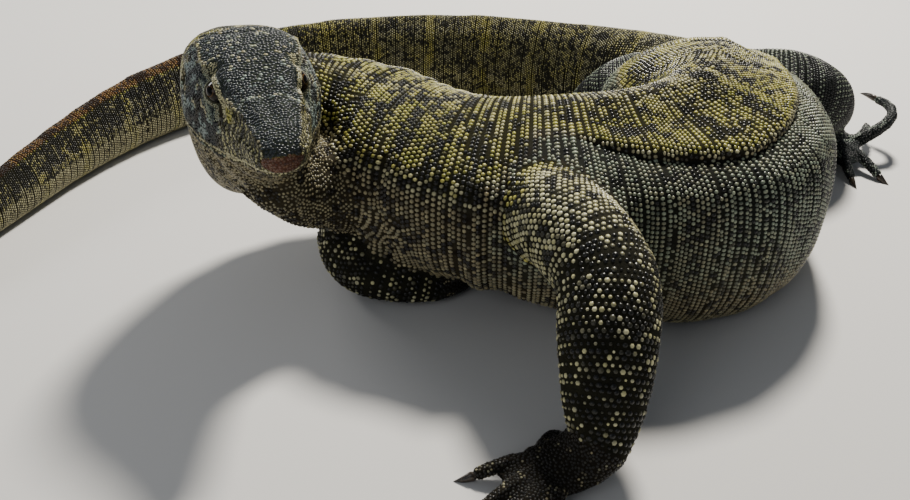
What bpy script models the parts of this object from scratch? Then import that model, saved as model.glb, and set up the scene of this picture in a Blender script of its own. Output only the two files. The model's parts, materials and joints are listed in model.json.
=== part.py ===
"""Nile monitor (Varanus niloticus), a still life-size model.

The lizard lies curled on the floor, its head raised and turned, its tail laid round behind it.
The body is one tube lofted along the animal's axis, parted with thin cuts. Each leg is a tube
along its bones, cut back where it meets the body, and ends in a foot with five toes and claws.
+Z is up, and the floor is z = 0. Lengths are in metres.
"""

import math

import bmesh
import bpy
import numpy as np
from mathutils import Matrix, Vector

GAP = 0.0003  # left between neighbouring pieces
FLOOR = 0.0

BODY_SIDES = 26
TAIL_SIDES = 14
LEG_SIDES = 12
LENGTH_RINGS = 7  # sections along each upper and lower leg
TOE_SIDES = 6
CLAW_SIDES = 6

# Places along the body's axis, from the snout to the tail's tip. Each has the middle of the flesh
# (x, y, z), then the half width, the rise to the top, the drop to the underside, and how square
# the upper and the lower half of the section are (2 is an ellipse, more is boxier, less is a tent).
BODY = (
    ("snout_tip", -0.1098, 0.5565, 0.1700, 0.0070, 0.0055, 0.0075, 2.2, 2.2),
    ("rostrum", -0.1124, 0.5660, 0.1710, 0.0165, 0.0115, 0.0155, 2.5, 2.3),
    ("nostrils", -0.1202, 0.5905, 0.1723, 0.0235, 0.0170, 0.0270, 2.6, 2.3),
    ("canthus", -0.1282, 0.6115, 0.1735, 0.0305, 0.0240, 0.0440, 2.5, 2.3),
    ("eyes", -0.1376, 0.6340, 0.1750, 0.0395, 0.0330, 0.0620, 2.1, 2.6),
    ("temples", -0.1460, 0.6600, 0.1760, 0.0490, 0.0410, 0.0860, 2.3, 2.9),
    ("occiput", -0.1535, 0.6880, 0.1740, 0.0525, 0.0430, 0.0980, 2.5, 2.8),
    ("nape", -0.1465, 0.7170, 0.1530, 0.0545, 0.0370, 0.0980, 2.2, 2.6),
    ("neck_bend", -0.1205, 0.7360, 0.1370, 0.0600, 0.0340, 0.0940, 2.0, 2.6),
    ("neck_middle", -0.0800, 0.7330, 0.1260, 0.0770, 0.0330, 0.0910, 1.9, 2.8),
    ("neck_base", -0.0310, 0.7120, 0.1170, 0.0890, 0.0380, 0.0890, 1.9, 3.0),
    ("withers", 0.0200, 0.6920, 0.1080, 0.0970, 0.0450, 0.0850, 1.9, 3.2),
    ("shoulders", 0.0740, 0.6850, 0.1000, 0.1060, 0.0560, 0.0940, 2.0, 3.3),
    ("chest", 0.1200, 0.6890, 0.0940, 0.1140, 0.0660, 0.0980, 2.1, 3.2),
    ("ribs", 0.1610, 0.7030, 0.0890, 0.1250, 0.0750, 0.1080, 2.1, 3.4),
    ("belly", 0.1920, 0.7370, 0.0850, 0.1240, 0.0790, 0.1080, 2.1, 3.4),
    ("flank", 0.2110, 0.7830, 0.0830, 0.1090, 0.0780, 0.1000, 2.1, 3.1),
    ("loins", 0.2270, 0.8320, 0.0790, 0.0920, 0.0700, 0.0900, 2.1, 2.7),
    ("pelvis", 0.2350, 0.8820, 0.0710, 0.0710, 0.0610, 0.0750, 2.1, 2.4),
    ("vent", 0.2280, 0.928, 0.0600, 0.0520, 0.0550, 0.0620, 2.0, 2.2),
    ("tail_root", 0.2000, 0.973, 0.0500, 0.0430, 0.0560, 0.0510, 1.8, 2.2),
    ("tail_a", 0.1500, 1.012, 0.0430, 0.0355, 0.0570, 0.0440, 1.6, 2.2),
    ("tail_b", 0.0800, 1.043, 0.0400, 0.0315, 0.0570, 0.0410, 1.5, 2.2),
    ("tail_c", 0.0000, 1.062, 0.0385, 0.0290, 0.0570, 0.0395, 1.5, 2.2),
    ("tail_d", -0.0900, 1.066, 0.0370, 0.0270, 0.0560, 0.0380, 1.5, 2.2),
    ("tail_e", -0.1800, 1.049, 0.0355, 0.0250, 0.0545, 0.0360, 1.5, 2.2),
    ("tail_f", -0.2620, 1.004, 0.0335, 0.0230, 0.0515, 0.0340, 1.5, 2.2),
    ("tail_g", -0.3300, 0.932, 0.0310, 0.0210, 0.0470, 0.0315, 1.5, 2.2),
    ("tail_h", -0.3790, 0.842, 0.0275, 0.0185, 0.0385, 0.0280, 1.5, 2.2),
    ("tail_i", -0.4150, 0.744, 0.0230, 0.0155, 0.0310, 0.0235, 1.5, 2.2),
    ("tail_j", -0.4570, 0.656, 0.0185, 0.0120, 0.0250, 0.0190, 1.6, 2.1),
    ("tail_k", -0.5080, 0.582, 0.0125, 0.0082, 0.0155, 0.0130, 1.7, 2.1),
    ("tail_l", -0.5650, 0.530, 0.0070, 0.0048, 0.0078, 0.0074, 1.8, 2.0),
    ("tail_tip", -0.6180, 0.500, 0.0034, 0.0016, 0.0018, 0.0030, 2.0, 2.0),
)

# The body's nodes, each from one place to another, with how many rings it is lofted through.
BODY_NODES = (
    ("head", "snout_tip", "occiput", 13, BODY_SIDES),
    ("neck_front", "occiput", "neck_middle", 6, BODY_SIDES),
    ("neck_rear", "neck_middle", "withers", 5, BODY_SIDES),
    ("trunk_front", "withers", "chest", 5, BODY_SIDES),
    ("trunk_middle", "chest", "flank", 7, BODY_SIDES),
    ("trunk_rear", "flank", "vent", 7, BODY_SIDES),
    ("tail_1", "vent", "tail_b", 6, BODY_SIDES),
    ("tail_2", "tail_b", "tail_d", 5, TAIL_SIDES),
    ("tail_3", "tail_d", "tail_f", 5, TAIL_SIDES),
    ("tail_4", "tail_f", "tail_h", 5, TAIL_SIDES),
    ("tail_5", "tail_h", "tail_j", 5, TAIL_SIDES),
    ("tail_6", "tail_j", "tail_tip", 7, TAIL_SIDES),
)

# The nodes that the legs are cut back from.
FORE_CUT_BY = ("neck_front", "neck_rear", "trunk_front", "trunk_middle")
THROAT_CUT_BY = ("head", "neck_front", "neck_rear", "trunk_front")
HIND_CUT_BY = ("trunk_middle", "trunk_rear", "tail_1")

# Loose skin of the back hangs over the left flank in one long fold.
FOLD_FROM, FOLD_TO = "shoulders", "pelvis"
FOLD_ANGLE = math.radians(34)  # of its edge, up from the side
FOLD_WIDTH = math.radians(15)
FOLD_DEPTH = 0.011
SPINE_RIDGE = 0.004
BEND_SHARE = 0.58  # of a bend's radius, the most that the flesh inside it takes
BEND_REACH = 0.02
INNER_SHARE = 0.74  # of the half width on the trunk's right, the inside of the curl
INNER_SQUARE = 1.5  # of the back's section on that side, which falls straight from the spine

MUZZLE_CROWDING = 1.25
BROW_ANGLES = (math.pi * 0.24, math.pi * 0.76)
BROW_DEPTH = 0.0018  # how far the brow ridges stand out over the eyes
CROWN_SQUARE = 4.2  # of the head's upper half: flat on top, with an edge along each side
CROWN_TAPER = 0.24  # how much narrower the crown is than the cheeks
ORBIT_ANGLES = (math.pi * 0.075, math.pi * 0.925)
ORBIT_HOLLOW = 0.0018  # how deep the eyes' hollows lie under the brows
EYE_RADIUS = 0.0088
EYE_SIDES, EYE_RINGS = 12, 8
EYE_OUT, EYE_UP, EYE_BACK = 0.0266, 0.0150, -0.0010
MOUTH_DROP_FRONT, MOUTH_DROP_REAR = 0.0100, 0.0258
JAW_REAR = 0.094  # from the snout's tip to the rear of the lower jaw's node

# Loose skin of the throat, which fills the inside of the neck's bend: x, y, z, half width and
# half thickness along it.
THROAT = (
    ("chin", -0.136, 0.628, 0.124, 0.026, 0.024),
    ("pouch", -0.127, 0.640, 0.110, 0.032, 0.028),
    ("crop", -0.106, 0.662, 0.094, 0.036, 0.032),
    ("breast", -0.070, 0.680, 0.088, 0.036, 0.032),
    ("breast_end", -0.030, 0.690, 0.086, 0.030, 0.028),
)
THROAT_RINGS = 8

# Each leg from inside the body to the knuckles: x, y, z, half width, half thickness. It is
# parted at its bend (the elbow or knee) and at its ankle (the wrist, on a foreleg).
FORELEG_LEFT = (
    ("root", 0.060, 0.655, 0.096, 0.034, 0.034),
    ("shoulder", 0.064, 0.612, 0.106, 0.037, 0.036),
    ("arm", 0.081, 0.566, 0.112, 0.036, 0.035),
    ("bend", 0.099, 0.526, 0.103, 0.035, 0.034),
    ("forearm", 0.097, 0.491, 0.079, 0.034, 0.032),
    ("forearm_low", 0.094, 0.466, 0.053, 0.029, 0.026),
    ("ankle", 0.089, 0.450, 0.0290, 0.0235, 0.018),
    ("palm", 0.070, 0.446, 0.0135, 0.021, 0.012),
    ("knuckles", 0.050, 0.441, 0.0105, 0.020, 0.010),
)
FORELEG_RIGHT = (
    ("root", 0.035, 0.738, 0.062, 0.030, 0.030),
    ("shoulder", -0.010, 0.742, 0.048, 0.031, 0.030),
    ("arm", -0.056, 0.722, 0.036, 0.031, 0.029),
    ("bend", -0.086, 0.684, 0.034, 0.030, 0.029),
    ("forearm", -0.070, 0.654, 0.028, 0.028, 0.026),
    ("forearm_low", -0.040, 0.644, 0.020, 0.020, 0.018),
    ("ankle", -0.014, 0.648, 0.0130, 0.016, 0.0125),
    ("palm", 0.000, 0.662, 0.0105, 0.017, 0.0095),
    ("knuckles", 0.006, 0.680, 0.0085, 0.017, 0.0080),
)
HINDLEG_LEFT = (
    ("root", 0.255, 0.884, 0.072, 0.040, 0.042),
    ("hip", 0.289, 0.874, 0.081, 0.042, 0.043),
    ("thigh", 0.322, 0.866, 0.083, 0.041, 0.042),
    ("bend", 0.349, 0.871, 0.075, 0.033, 0.035),
    ("shank", 0.368, 0.889, 0.056, 0.026, 0.027),
    ("shank_low", 0.376, 0.904, 0.039, 0.020, 0.020),
    ("ankle", 0.386, 0.911, 0.0250, 0.015, 0.014),
    ("palm", 0.391, 0.901, 0.0140, 0.018, 0.010),
    ("knuckles", 0.395, 0.886, 0.0110, 0.018, 0.010),
)
HINDLEG_RIGHT = (
    ("root", 0.222, 0.888, 0.070, 0.038, 0.040),
    ("hip", 0.192, 0.882, 0.077, 0.038, 0.040),
    ("thigh", 0.164, 0.874, 0.084, 0.033, 0.035),
    ("bend", 0.145, 0.880, 0.074, 0.026, 0.027),
    ("shank", 0.133, 0.891, 0.058, 0.022, 0.023),
    ("shank_low", 0.124, 0.902, 0.042, 0.018, 0.018),
    ("ankle", 0.114, 0.913, 0.0270, 0.016, 0.015),
    ("palm", 0.096, 0.922, 0.0140, 0.018, 0.012),
    ("knuckles", 0.076, 0.919, 0.0105, 0.018, 0.010),
)

# Toes, inner to outer: how far across the knuckles they start (-1 to 1), the turn from the foot's
# heading and the length, the curl in plan, how high they arch, and how high the tip is held.
TOE_ROOT_RADIUS, TOE_TIP_RADIUS = 0.0080, 0.0050
TOE_PLACES = 5
PLANTED_HAND = (
    (-1.00, -122, 0.018, -20, 0.004, 0.0),
    (-0.50, -12, 0.036, 8, 0.005, 0.0),
    (0.00, 16, 0.040, 0, 0.006, 0.0),
    (0.50, 38, 0.038, -4, 0.006, 0.0),
    (0.95, 66, 0.030, -8, 0.004, 0.0),
)
RELAXED_HAND = (
    (-0.95, -58, 0.026, 10, 0.003, 0.0),
    (-0.50, -28, 0.034, 6, 0.004, 0.0),
    (0.00, -4, 0.038, 0, 0.004, 0.0),
    (0.50, 20, 0.036, -4, 0.004, 0.0),
    (0.95, 50, 0.028, -8, 0.003, 0.0),
)
SPREAD_FOOT = (
    (-0.95, -50, 0.030, 8, 0.004, 0.0),
    (-0.50, -22, 0.042, 6, 0.006, 0.0),
    (0.00, 0, 0.050, 0, 0.007, 0.0),
    (0.50, 22, 0.055, 8, 0.008, 0.0),
    (0.95, 68, 0.036, 10, 0.005, 0.0),
)
CURLED_FOOT = (
    (-0.95, -40, 0.034, 6, 0.005, 0.0),
    (-0.50, -14, 0.042, 4, 0.006, 0.0),
    (0.00, 10, 0.044, 6, 0.007, 0.0),
    (0.60, 52, 0.078, 170, 0.012, 0.040),
    (1.10, 110, 0.034, 50, 0.006, 0.012),
)
CLAW_LENGTH, CLAW_RADIUS, CLAW_TIP = 0.020, 0.0036, 0.0005
CLAW_DROP = math.radians(62)  # how far it turns down from root to tip

COLOURS = {
    "skin": (0.035, 0.038, 0.030, 1.0),
    "horn": (0.015, 0.013, 0.012, 1.0),
    "eye": (0.010, 0.007, 0.004, 1.0),
}


# ---- curves and sections -------------------------------------------------------------------


class Axis:
    """A smooth curve through named rows of numbers, the first three of them a place."""

    def __init__(self, rows):
        self.names = [row[0] for row in rows]
        self.values = np.array([row[1:] for row in rows], float)
        steps = np.linalg.norm(np.diff(self.values[:, :3], axis=0), axis=1)
        self.knots = np.concatenate([[0.0], np.cumsum(steps)])
        self.slopes = self._slopes()

    def _slopes(self):
        values, knots = self.values, self.knots
        slopes = np.empty_like(values)
        slopes[0] = (values[1] - values[0]) / (knots[1] - knots[0])
        slopes[-1] = (values[-1] - values[-2]) / (knots[-1] - knots[-2])
        for i in range(1, len(values) - 1):
            before, after = knots[i] - knots[i - 1], knots[i + 1] - knots[i]
            rise_before = (values[i] - values[i - 1]) / before
            rise_after = (values[i + 1] - values[i]) / after
            slopes[i] = (rise_before * after + rise_after * before) / (before + after)
        return slopes

    def at(self, name):
        return self.knots[self.names.index(name)]

    def read(self, distance):
        """The interpolated row at a distance along the axis."""
        distance = min(max(distance, 0.0), self.knots[-1])
        i = min(int(np.searchsorted(self.knots, distance, side="right")) - 1, len(self.knots) - 2)
        i = max(i, 0)
        step = self.knots[i + 1] - self.knots[i]
        t = (distance - self.knots[i]) / step
        a, b = self.values[i], self.values[i + 1]
        slope_a, slope_b = self.slopes[i] * step, self.slopes[i + 1] * step
        return (
            (2 * t**3 - 3 * t**2 + 1) * a
            + (t**3 - 2 * t**2 + t) * slope_a
            + (3 * t**2 - 2 * t**3) * b
            + (t**3 - t**2) * slope_b
        )

    def tangent(self, distance, reach=0.002):
        ahead = self.read(distance + reach)[:3]
        behind = self.read(distance - reach)[:3]
        return Vector(ahead - behind).normalized()


def bump(value, middle, width):
    """A smooth hump of height 1, gone past three widths."""
    return math.exp(-(((value - middle) / width) ** 2))


def fade(value, start, end, ramp=0.05):
    """1 between start and end, falling smoothly to 0 over the ramp outside them."""
    into = min(max((value - start) / ramp, 0.0), 1.0)
    out = min(max((end - value) / ramp, 0.0), 1.0)
    t = min(into, out)
    return t * t * (3 - 2 * t)


def section_point(angle, half, up, down, square_up, square_down):
    """A point of the section, as its distance to the left and up."""
    c, s = math.cos(angle), math.sin(angle)
    square = square_up if s > 0 else square_down
    tall = up if s > 0 else down
    across = math.copysign(abs(c) ** (2 / square), c) * half
    return across, math.copysign(abs(s) ** (2 / square), s) * tall


def soft_least(a, b, sharpness=6):
    """About the smaller of two lengths, without a corner where they cross."""
    return a * b / (a**sharpness + b**sharpness) ** (1 / sharpness)


def inside_of_bend(axis, distance):
    """Which side the axis bends to (1 is left) and how wide that side can be before it folds."""
    turns = []
    for middle in (distance - BEND_REACH, distance, distance + BEND_REACH):
        before, after = axis.tangent(middle - BEND_REACH), axis.tangent(middle + BEND_REACH)
        turns.append(before.cross(after).z)
    sharpest = max(abs(turn) for turn in turns)
    side = 1 if sum(turns) < 0 else -1
    return side, BEND_SHARE * 2 * BEND_REACH / max(sharpest, 0.01)


def body_ring(axis, distance, sides, extra=0.0, shift=0.0):
    """One section of the body, with its fold, spine ridge and brows, moved along by shift."""
    row = axis.read(distance)
    back = axis.tangent(distance)
    back = Vector((back.x, back.y, 0)).normalized()  # sections stand upright
    middle, (half, up, down, square_up, square_down) = Vector(row[:3]) + back * shift, row[3:]
    rise = Vector((0, 0, 1))
    left = back.cross(rise)
    folded = fade(distance, axis.at(FOLD_FROM), axis.at(FOLD_TO))
    ridged = fade(distance, axis.at("withers"), axis.at("vent"))
    inner, room = inside_of_bend(axis, distance)
    curled = fade(distance, axis.at("neck_middle"), axis.at("loins"), ramp=0.08)
    browed = bump(distance, axis.at("eyes"), 0.016)
    crowned = fade(distance, axis.at("nostrils"), axis.at("occiput"), ramp=0.03)
    points = []
    for k in range(sides):
        angle = 2 * math.pi * k / sides
        side = 1 if math.cos(angle) > 0 else -1
        side_half, side_square = half, square_up + crowned * (CROWN_SQUARE - square_up)
        if side < 0:
            side_half *= 1 - curled * (1 - INNER_SHARE)
            side_square += curled * (INNER_SQUARE - square_up)
        if side == inner:
            side_half = soft_least(side_half, room)
        across, high = section_point(angle, side_half, up, down, side_square, square_down)
        across *= 1 - crowned * CROWN_TAPER * max(high / up, 0.0)
        from_top = abs(angle - math.pi / 2)
        swell = folded * FOLD_DEPTH * bump(angle, FOLD_ANGLE, FOLD_WIDTH)
        for brow in BROW_ANGLES:
            swell += browed * BROW_DEPTH * bump(angle, brow, 0.22)
        for orbit in ORBIT_ANGLES:
            swell -= browed * ORBIT_HOLLOW * bump(angle, orbit, 0.24)
        across += math.cos(angle) * (swell + extra)
        high += math.sin(angle) * (swell * 0.3 + extra)
        high += ridged * SPINE_RIDGE * bump(from_top, 0.0, 0.25)
        points.append(middle + left * across + rise * high)
    return points


def leg_rings(axis, start, end, count, sides, extra=0.0):
    """Sections along a leg; those where it is parted stand half a gap back from the cut."""
    rings, side = [], None
    for i in range(count):
        distance = start + (end - start) * i / (count - 1)
        along = axis.tangent(distance)
        if side is None:
            side = along.cross(Vector((0, 0, 1)))
        side = (side - along * side.dot(along)).normalized()
        over = side.cross(along)
        row = axis.read(distance)
        shift = end_shift(i, count, distance > 0.0, distance < axis.knots[-1])
        middle, wide, thick = Vector(row[:3]) + along * shift, row[3] + extra, row[4] + extra
        turns = [2 * math.pi * k / sides for k in range(sides)]
        rings.append([middle + side * wide * math.cos(a) + over * thick * math.sin(a) for a in turns])
    return rings


def end_shift(i, count, parted_at_start, parted_at_end):
    """Half a gap inwards for a length's first and last section, where it is parted there."""
    if i == 0 and parted_at_start:
        return GAP / 2
    if i == count - 1 and parted_at_end:
        return -GAP / 2
    return 0.0


# ---- solids --------------------------------------------------------------------------------


def material(name):
    made = bpy.data.materials.get(name)
    if made:
        return made
    made = bpy.data.materials.new(name)
    made.use_nodes = True
    shader = made.node_tree.nodes["Principled BSDF"]
    shader.inputs["Base Color"].default_value = COLOURS[name]
    shader.inputs["Roughness"].default_value = 0.45
    return made


def loft(name, rings, finish):
    """A closed solid through the rings, with a fan of triangles on each end."""
    mesh = bmesh.new()
    rows = [[mesh.verts.new(p) for p in ring] for ring in rings]
    sides = len(rows[0])
    for near, far in zip(rows, rows[1:]):
        for k in range(sides):
            j = (k + 1) % sides
            mesh.faces.new((near[k], near[j], far[j]))
            mesh.faces.new((near[k], far[j], far[k]))
    for row in (rows[0], rows[-1]):
        hub = mesh.verts.new(sum((v.co for v in row), Vector()) / sides)
        for k in range(sides):
            mesh.faces.new((hub, row[k], row[(k + 1) % sides]))
    bmesh.ops.recalc_face_normals(mesh, faces=mesh.faces)
    if mesh.calc_volume(signed=True) < 0:
        bmesh.ops.reverse_faces(mesh, faces=mesh.faces)
    data = bpy.data.meshes.new(name)
    mesh.to_mesh(data)
    mesh.free()
    data.materials.append(material(finish))
    made = bpy.data.objects.new(name, data)
    bpy.context.scene.collection.objects.link(made)
    return made


def combine(target, other, operation):
    """Applies an exact Boolean to target and removes the other object."""
    modifier = target.modifiers.new("combine", "BOOLEAN")
    modifier.operation = operation
    modifier.solver = "EXACT"
    modifier.object = other
    graph = bpy.context.evaluated_depsgraph_get()
    result = bpy.data.meshes.new_from_object(target.evaluated_get(graph))
    target.modifiers.clear()
    old = target.data
    target.data = result
    result.name = target.name
    bpy.data.meshes.remove(old)
    bpy.data.objects.remove(other)


def copy_of(source, name):
    made = bpy.data.objects.new(name, source.data.copy())
    bpy.context.scene.collection.objects.link(made)
    return made


def cut_flat(thing, place, outward):
    """Cuts off what lies beyond a plane, closes the cut with a flat, and welds slivers."""
    mesh = bmesh.new()
    mesh.from_mesh(thing.data)
    geometry = [*mesh.verts, *mesh.edges, *mesh.faces]
    bmesh.ops.bisect_plane(mesh, geom=geometry, plane_co=place, plane_no=outward, clear_outer=True)
    rim = [e for e in mesh.edges if e.is_boundary]
    if rim:
        bmesh.ops.holes_fill(mesh, edges=rim, sides=0)
    bmesh.ops.remove_doubles(mesh, verts=mesh.verts, dist=0.00005)
    bmesh.ops.dissolve_degenerate(mesh, edges=mesh.edges, dist=0.00002)
    bmesh.ops.triangulate(mesh, faces=mesh.faces)
    bmesh.ops.recalc_face_normals(mesh, faces=mesh.faces)
    mesh.to_mesh(thing.data)
    mesh.free()


def set_down(thing):
    """Gives the solid a flat at the floor's level where it would reach below it."""
    cut_flat(thing, Vector((0, 0, FLOOR)), Vector((0, 0, -1)))


def box_between(name, corner, across, along, over):
    """A box from a corner and its three edge vectors, for cutting."""
    mesh = bmesh.new()
    made = bmesh.ops.create_cube(mesh, size=1.0)
    bmesh.ops.translate(mesh, verts=made["verts"], vec=(0.5, 0.5, 0.5))
    turn = Matrix((across, along, over)).transposed().to_4x4()
    turn.translation = corner
    bmesh.ops.transform(mesh, verts=mesh.verts, matrix=turn)
    bmesh.ops.recalc_face_normals(mesh, faces=mesh.faces)
    data = bpy.data.meshes.new(name)
    mesh.to_mesh(data)
    mesh.free()
    box = bpy.data.objects.new(name, data)
    bpy.context.scene.collection.objects.link(box)
    return box


def ball(name, middle, radius, segments, rings, finish):
    mesh = bmesh.new()
    bmesh.ops.create_uvsphere(mesh, u_segments=segments, v_segments=rings, radius=radius)
    bmesh.ops.translate(mesh, verts=mesh.verts, vec=middle)
    bmesh.ops.triangulate(mesh, faces=mesh.faces)
    data = bpy.data.meshes.new(name)
    mesh.to_mesh(data)
    mesh.free()
    data.materials.append(material(finish))
    made = bpy.data.objects.new(name, data)
    bpy.context.scene.collection.objects.link(made)
    return made


# ---- the body ------------------------------------------------------------------------------


def node_distances(node, start, end, count):
    """Where a node's sections stand along the axis; closer together where the muzzle rounds off."""
    power = MUZZLE_CROWDING if node == "head" else 1.0
    return [start + (end - start) * (i / (count - 1)) ** power for i in range(count)]


def make_body(axis):
    """Head, neck, trunk and tail, each a length of the same tube."""
    made = {}
    for name, first, last, count, sides in BODY_NODES:
        start, end = axis.at(first), axis.at(last)
        rings = []
        for i, distance in enumerate(node_distances(name, start, end, count)):
            shift = end_shift(i, count, first != BODY[0][0], last != BODY[-1][0])
            rings.append(body_ring(axis, distance, sides, shift=shift))
        made[name] = loft(name, rings, "skin")
    return made


def body_cutter(axis, name, nodes):
    """Some lengths of the body as one, on their own sections, a gap larger all round."""
    distances = []
    for node, first, last, count, sides in BODY_NODES:
        if node in nodes:
            places = node_distances(node, axis.at(first), axis.at(last), count)
            distances += places[1 if distances else 0 :]
    return loft(name, [body_ring(axis, d, BODY_SIDES, extra=GAP * 1.8) for d in distances], "skin")


def head_frame(axis):
    """The head's own directions at the eyes: back along it, to its left, and up."""
    back = (Vector(axis.read(axis.at("occiput"))[:3]) - Vector(axis.read(0.0)[:3])).normalized()
    left = back.cross(Vector((0, 0, 1))).normalized()
    return back, left, left.cross(back) if left.cross(back).z > 0 else back.cross(left)


def part_jaw(axis, head):
    """Parts the lower jaw from the head along the closed mouth."""
    back, left, up = head_frame(axis)
    tip = Vector(axis.read(0.0)[:3])
    front = tip - back * 0.01 - up * MOUTH_DROP_FRONT
    rear = tip + back * JAW_REAR - up * MOUTH_DROP_REAR
    along = rear - front
    over = left.cross(along).normalized()
    over = over if over.z > 0 else -over
    wide, deep = 0.12, 0.08

    def block(name, shrink):
        corner = front - left * wide / 2 - over * (deep + shrink)
        length = along - along.normalized() * shrink
        return box_between(name, corner, left * wide, length, over * deep)

    jaw = copy_of(head, "lower_jaw")
    combine(jaw, block("jaw_space", GAP), "INTERSECT")
    combine(head, block("jaw_space", 0.0), "DIFFERENCE")
    return jaw


def make_throat(axis, name, extra=0.0):
    """The throat's loose skin, cut back from the head and neck that it lies against."""
    throat = Axis(THROAT)
    rings = leg_rings(throat, 0.0, throat.knots[-1], THROAT_RINGS, LEG_SIDES, extra)
    made = loft(name, rings, "skin")
    if not extra:
        combine(made, body_cutter(axis, "cutter", THROAT_CUT_BY), "DIFFERENCE")
        set_down(made)
    return made


def make_eyes(axis, head):
    back, left, up = head_frame(axis)
    middle = Vector(axis.read(axis.at("eyes"))[:3])
    for side, name in ((1, "eye_left"), (-1, "eye_right")):
        place = middle + left * side * EYE_OUT + up * EYE_UP + back * EYE_BACK
        socket = ball("socket", place, EYE_RADIUS + GAP * 2, EYE_SIDES, EYE_RINGS, "skin")
        combine(head, socket, "DIFFERENCE")
        ball(name, place, EYE_RADIUS, EYE_SIDES, EYE_RINGS, "eye")


# ---- the legs ------------------------------------------------------------------------------


def toe_path(start, heading, length, curl, arch, held):
    """Places from the knuckle to the tip: the toe bows up by arch and turns by curl in plan."""
    count = TOE_PLACES + (3 if abs(curl) > 90 else 0)
    places, place = [], start.copy()
    step = length / (count - 1)
    for i in range(count):
        t = i / (count - 1)
        lift = math.sin(math.pi * t**0.8) * arch + held * t
        rest = start.z + (TOE_TIP_RADIUS - 0.0006 - start.z) * t
        places.append(Vector((place.x, place.y, rest + lift)))
        turned = heading + math.radians(curl) * t
        place = place + Vector((math.cos(turned), math.sin(turned), 0)) * step
    return places


def tube_along(name, places, radii, sides, finish):
    rings, side = [], None
    for i, (place, radius) in enumerate(zip(places, radii)):
        ahead, behind = places[min(i + 1, len(places) - 1)], places[max(i - 1, 0)]
        along = (ahead - behind).normalized()
        if side is None:
            side = along.cross(Vector((0, 0, 1)))
        side = (side - along * side.dot(along)).normalized()
        over = side.cross(along)
        turns = [2 * math.pi * k / sides for k in range(sides)]
        rings.append([place + (side * math.cos(a) + over * math.sin(a)) * radius for a in turns])
    return loft(name, rings, finish)


def make_claw(name, tip, along):
    """A hooked claw that starts a gap beyond the toe's tip and turns down to the floor."""
    count = 4
    flat = Vector((along.x, along.y, 0)).normalized()
    pitch = math.asin(max(min(along.z, 1.0), -1.0))
    places, place = [], tip + along * GAP
    for i in range(count):
        places.append(place.copy())
        angle = pitch + 0.35 - CLAW_DROP * i / (count - 1)
        direction = along if i == 0 else flat * math.cos(angle) + Vector((0, 0, math.sin(angle)))
        place = place + direction * CLAW_LENGTH / (count - 1)
    taper = CLAW_TIP - CLAW_RADIUS
    radii = [CLAW_RADIUS + taper * (i / (count - 1)) ** 0.8 for i in range(count)]
    claw = tube_along(name, places, radii, CLAW_SIDES, "horn")
    set_down(claw)


def make_foot(name, axis, toes, mirrored):
    """The palm or sole with its five toes in one solid, and its claws."""
    start = axis.at("ankle")
    foot = loft(name, leg_rings(axis, start, axis.knots[-1], 5, LEG_SIDES), "skin")
    row = axis.read(axis.knots[-1])
    middle, wide = Vector(row[:3]), row[3]
    forward = axis.tangent(axis.knots[-1])
    forward = Vector((forward.x, forward.y, 0)).normalized()
    across = Vector((-forward.y, forward.x, 0)) * (-1 if mirrored else 1)
    facing = math.atan2(forward.y, forward.x)
    for number, (place, turn, length, curl, arch, held) in enumerate(toes, 1):
        sign = -1 if mirrored else 1
        root = middle + across * wide * 0.72 * place - forward * 0.010
        heading = facing + math.radians(turn) * sign
        path = toe_path(root, heading, length + 0.010, curl * sign, arch, held)
        count = len(path)
        taper = (TOE_TIP_RADIUS - TOE_ROOT_RADIUS) / (count - 1)
        radii = [TOE_ROOT_RADIUS + taper * i for i in range(count)]
        toe = tube_along("toe", path, radii, TOE_SIDES, "skin")
        combine(foot, toe, "UNION")
        make_claw(f"{name}_claw_{number}", path[-1], (path[-1] - path[-2]).normalized())
    cut_at(foot, axis, start, -1)
    set_down(foot)


def make_leg(prefix, rows, toes, words, body, cut_by, mirrored=False):
    """Upper and lower leg and foot, parted at knee and ankle and cut back to the body."""
    axis = Axis(rows)
    cuts = [0.0, axis.at("bend"), axis.at("ankle")]
    for word, start, end in zip(words, cuts, cuts[1:]):
        length = loft(f"{prefix}_{word}", leg_rings(axis, start, end, LENGTH_RINGS, LEG_SIDES), "skin")
        combine(length, body_cutter(body, "cutter", cut_by), "DIFFERENCE")
        if prefix == "fore_right":
            combine(length, make_throat(body, "cutter", extra=GAP * 1.8), "DIFFERENCE")
        if start > 0.0:
            cut_at(length, axis, start, -1)
        cut_at(length, axis, end, 1)
        set_down(length)
    make_foot(f"{prefix}_{words[2]}", axis, toes, mirrored)


def cut_at(thing, axis, distance, side):
    """Cuts a leg's piece flat at a joint, half a gap short of it; side 1 drops what is beyond."""
    along = axis.tangent(distance) * side
    cut_flat(thing, Vector(axis.read(distance)[:3]) - along * GAP / 2, along)


def centre_all():
    """Moves everything so that the origin is the middle of its bounding box, on the floor."""
    things = list(bpy.context.scene.objects)
    places = np.array([v.co for thing in things for v in thing.data.vertices])
    low, high = places.min(axis=0), places.max(axis=0)
    shift = -(low + high) / 2
    shift[2] = -low[2]
    for thing in things:
        thing.data.transform(Matrix.Translation(shift.tolist()))
    print("moved by", [round(float(value), 5) for value in shift])


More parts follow.
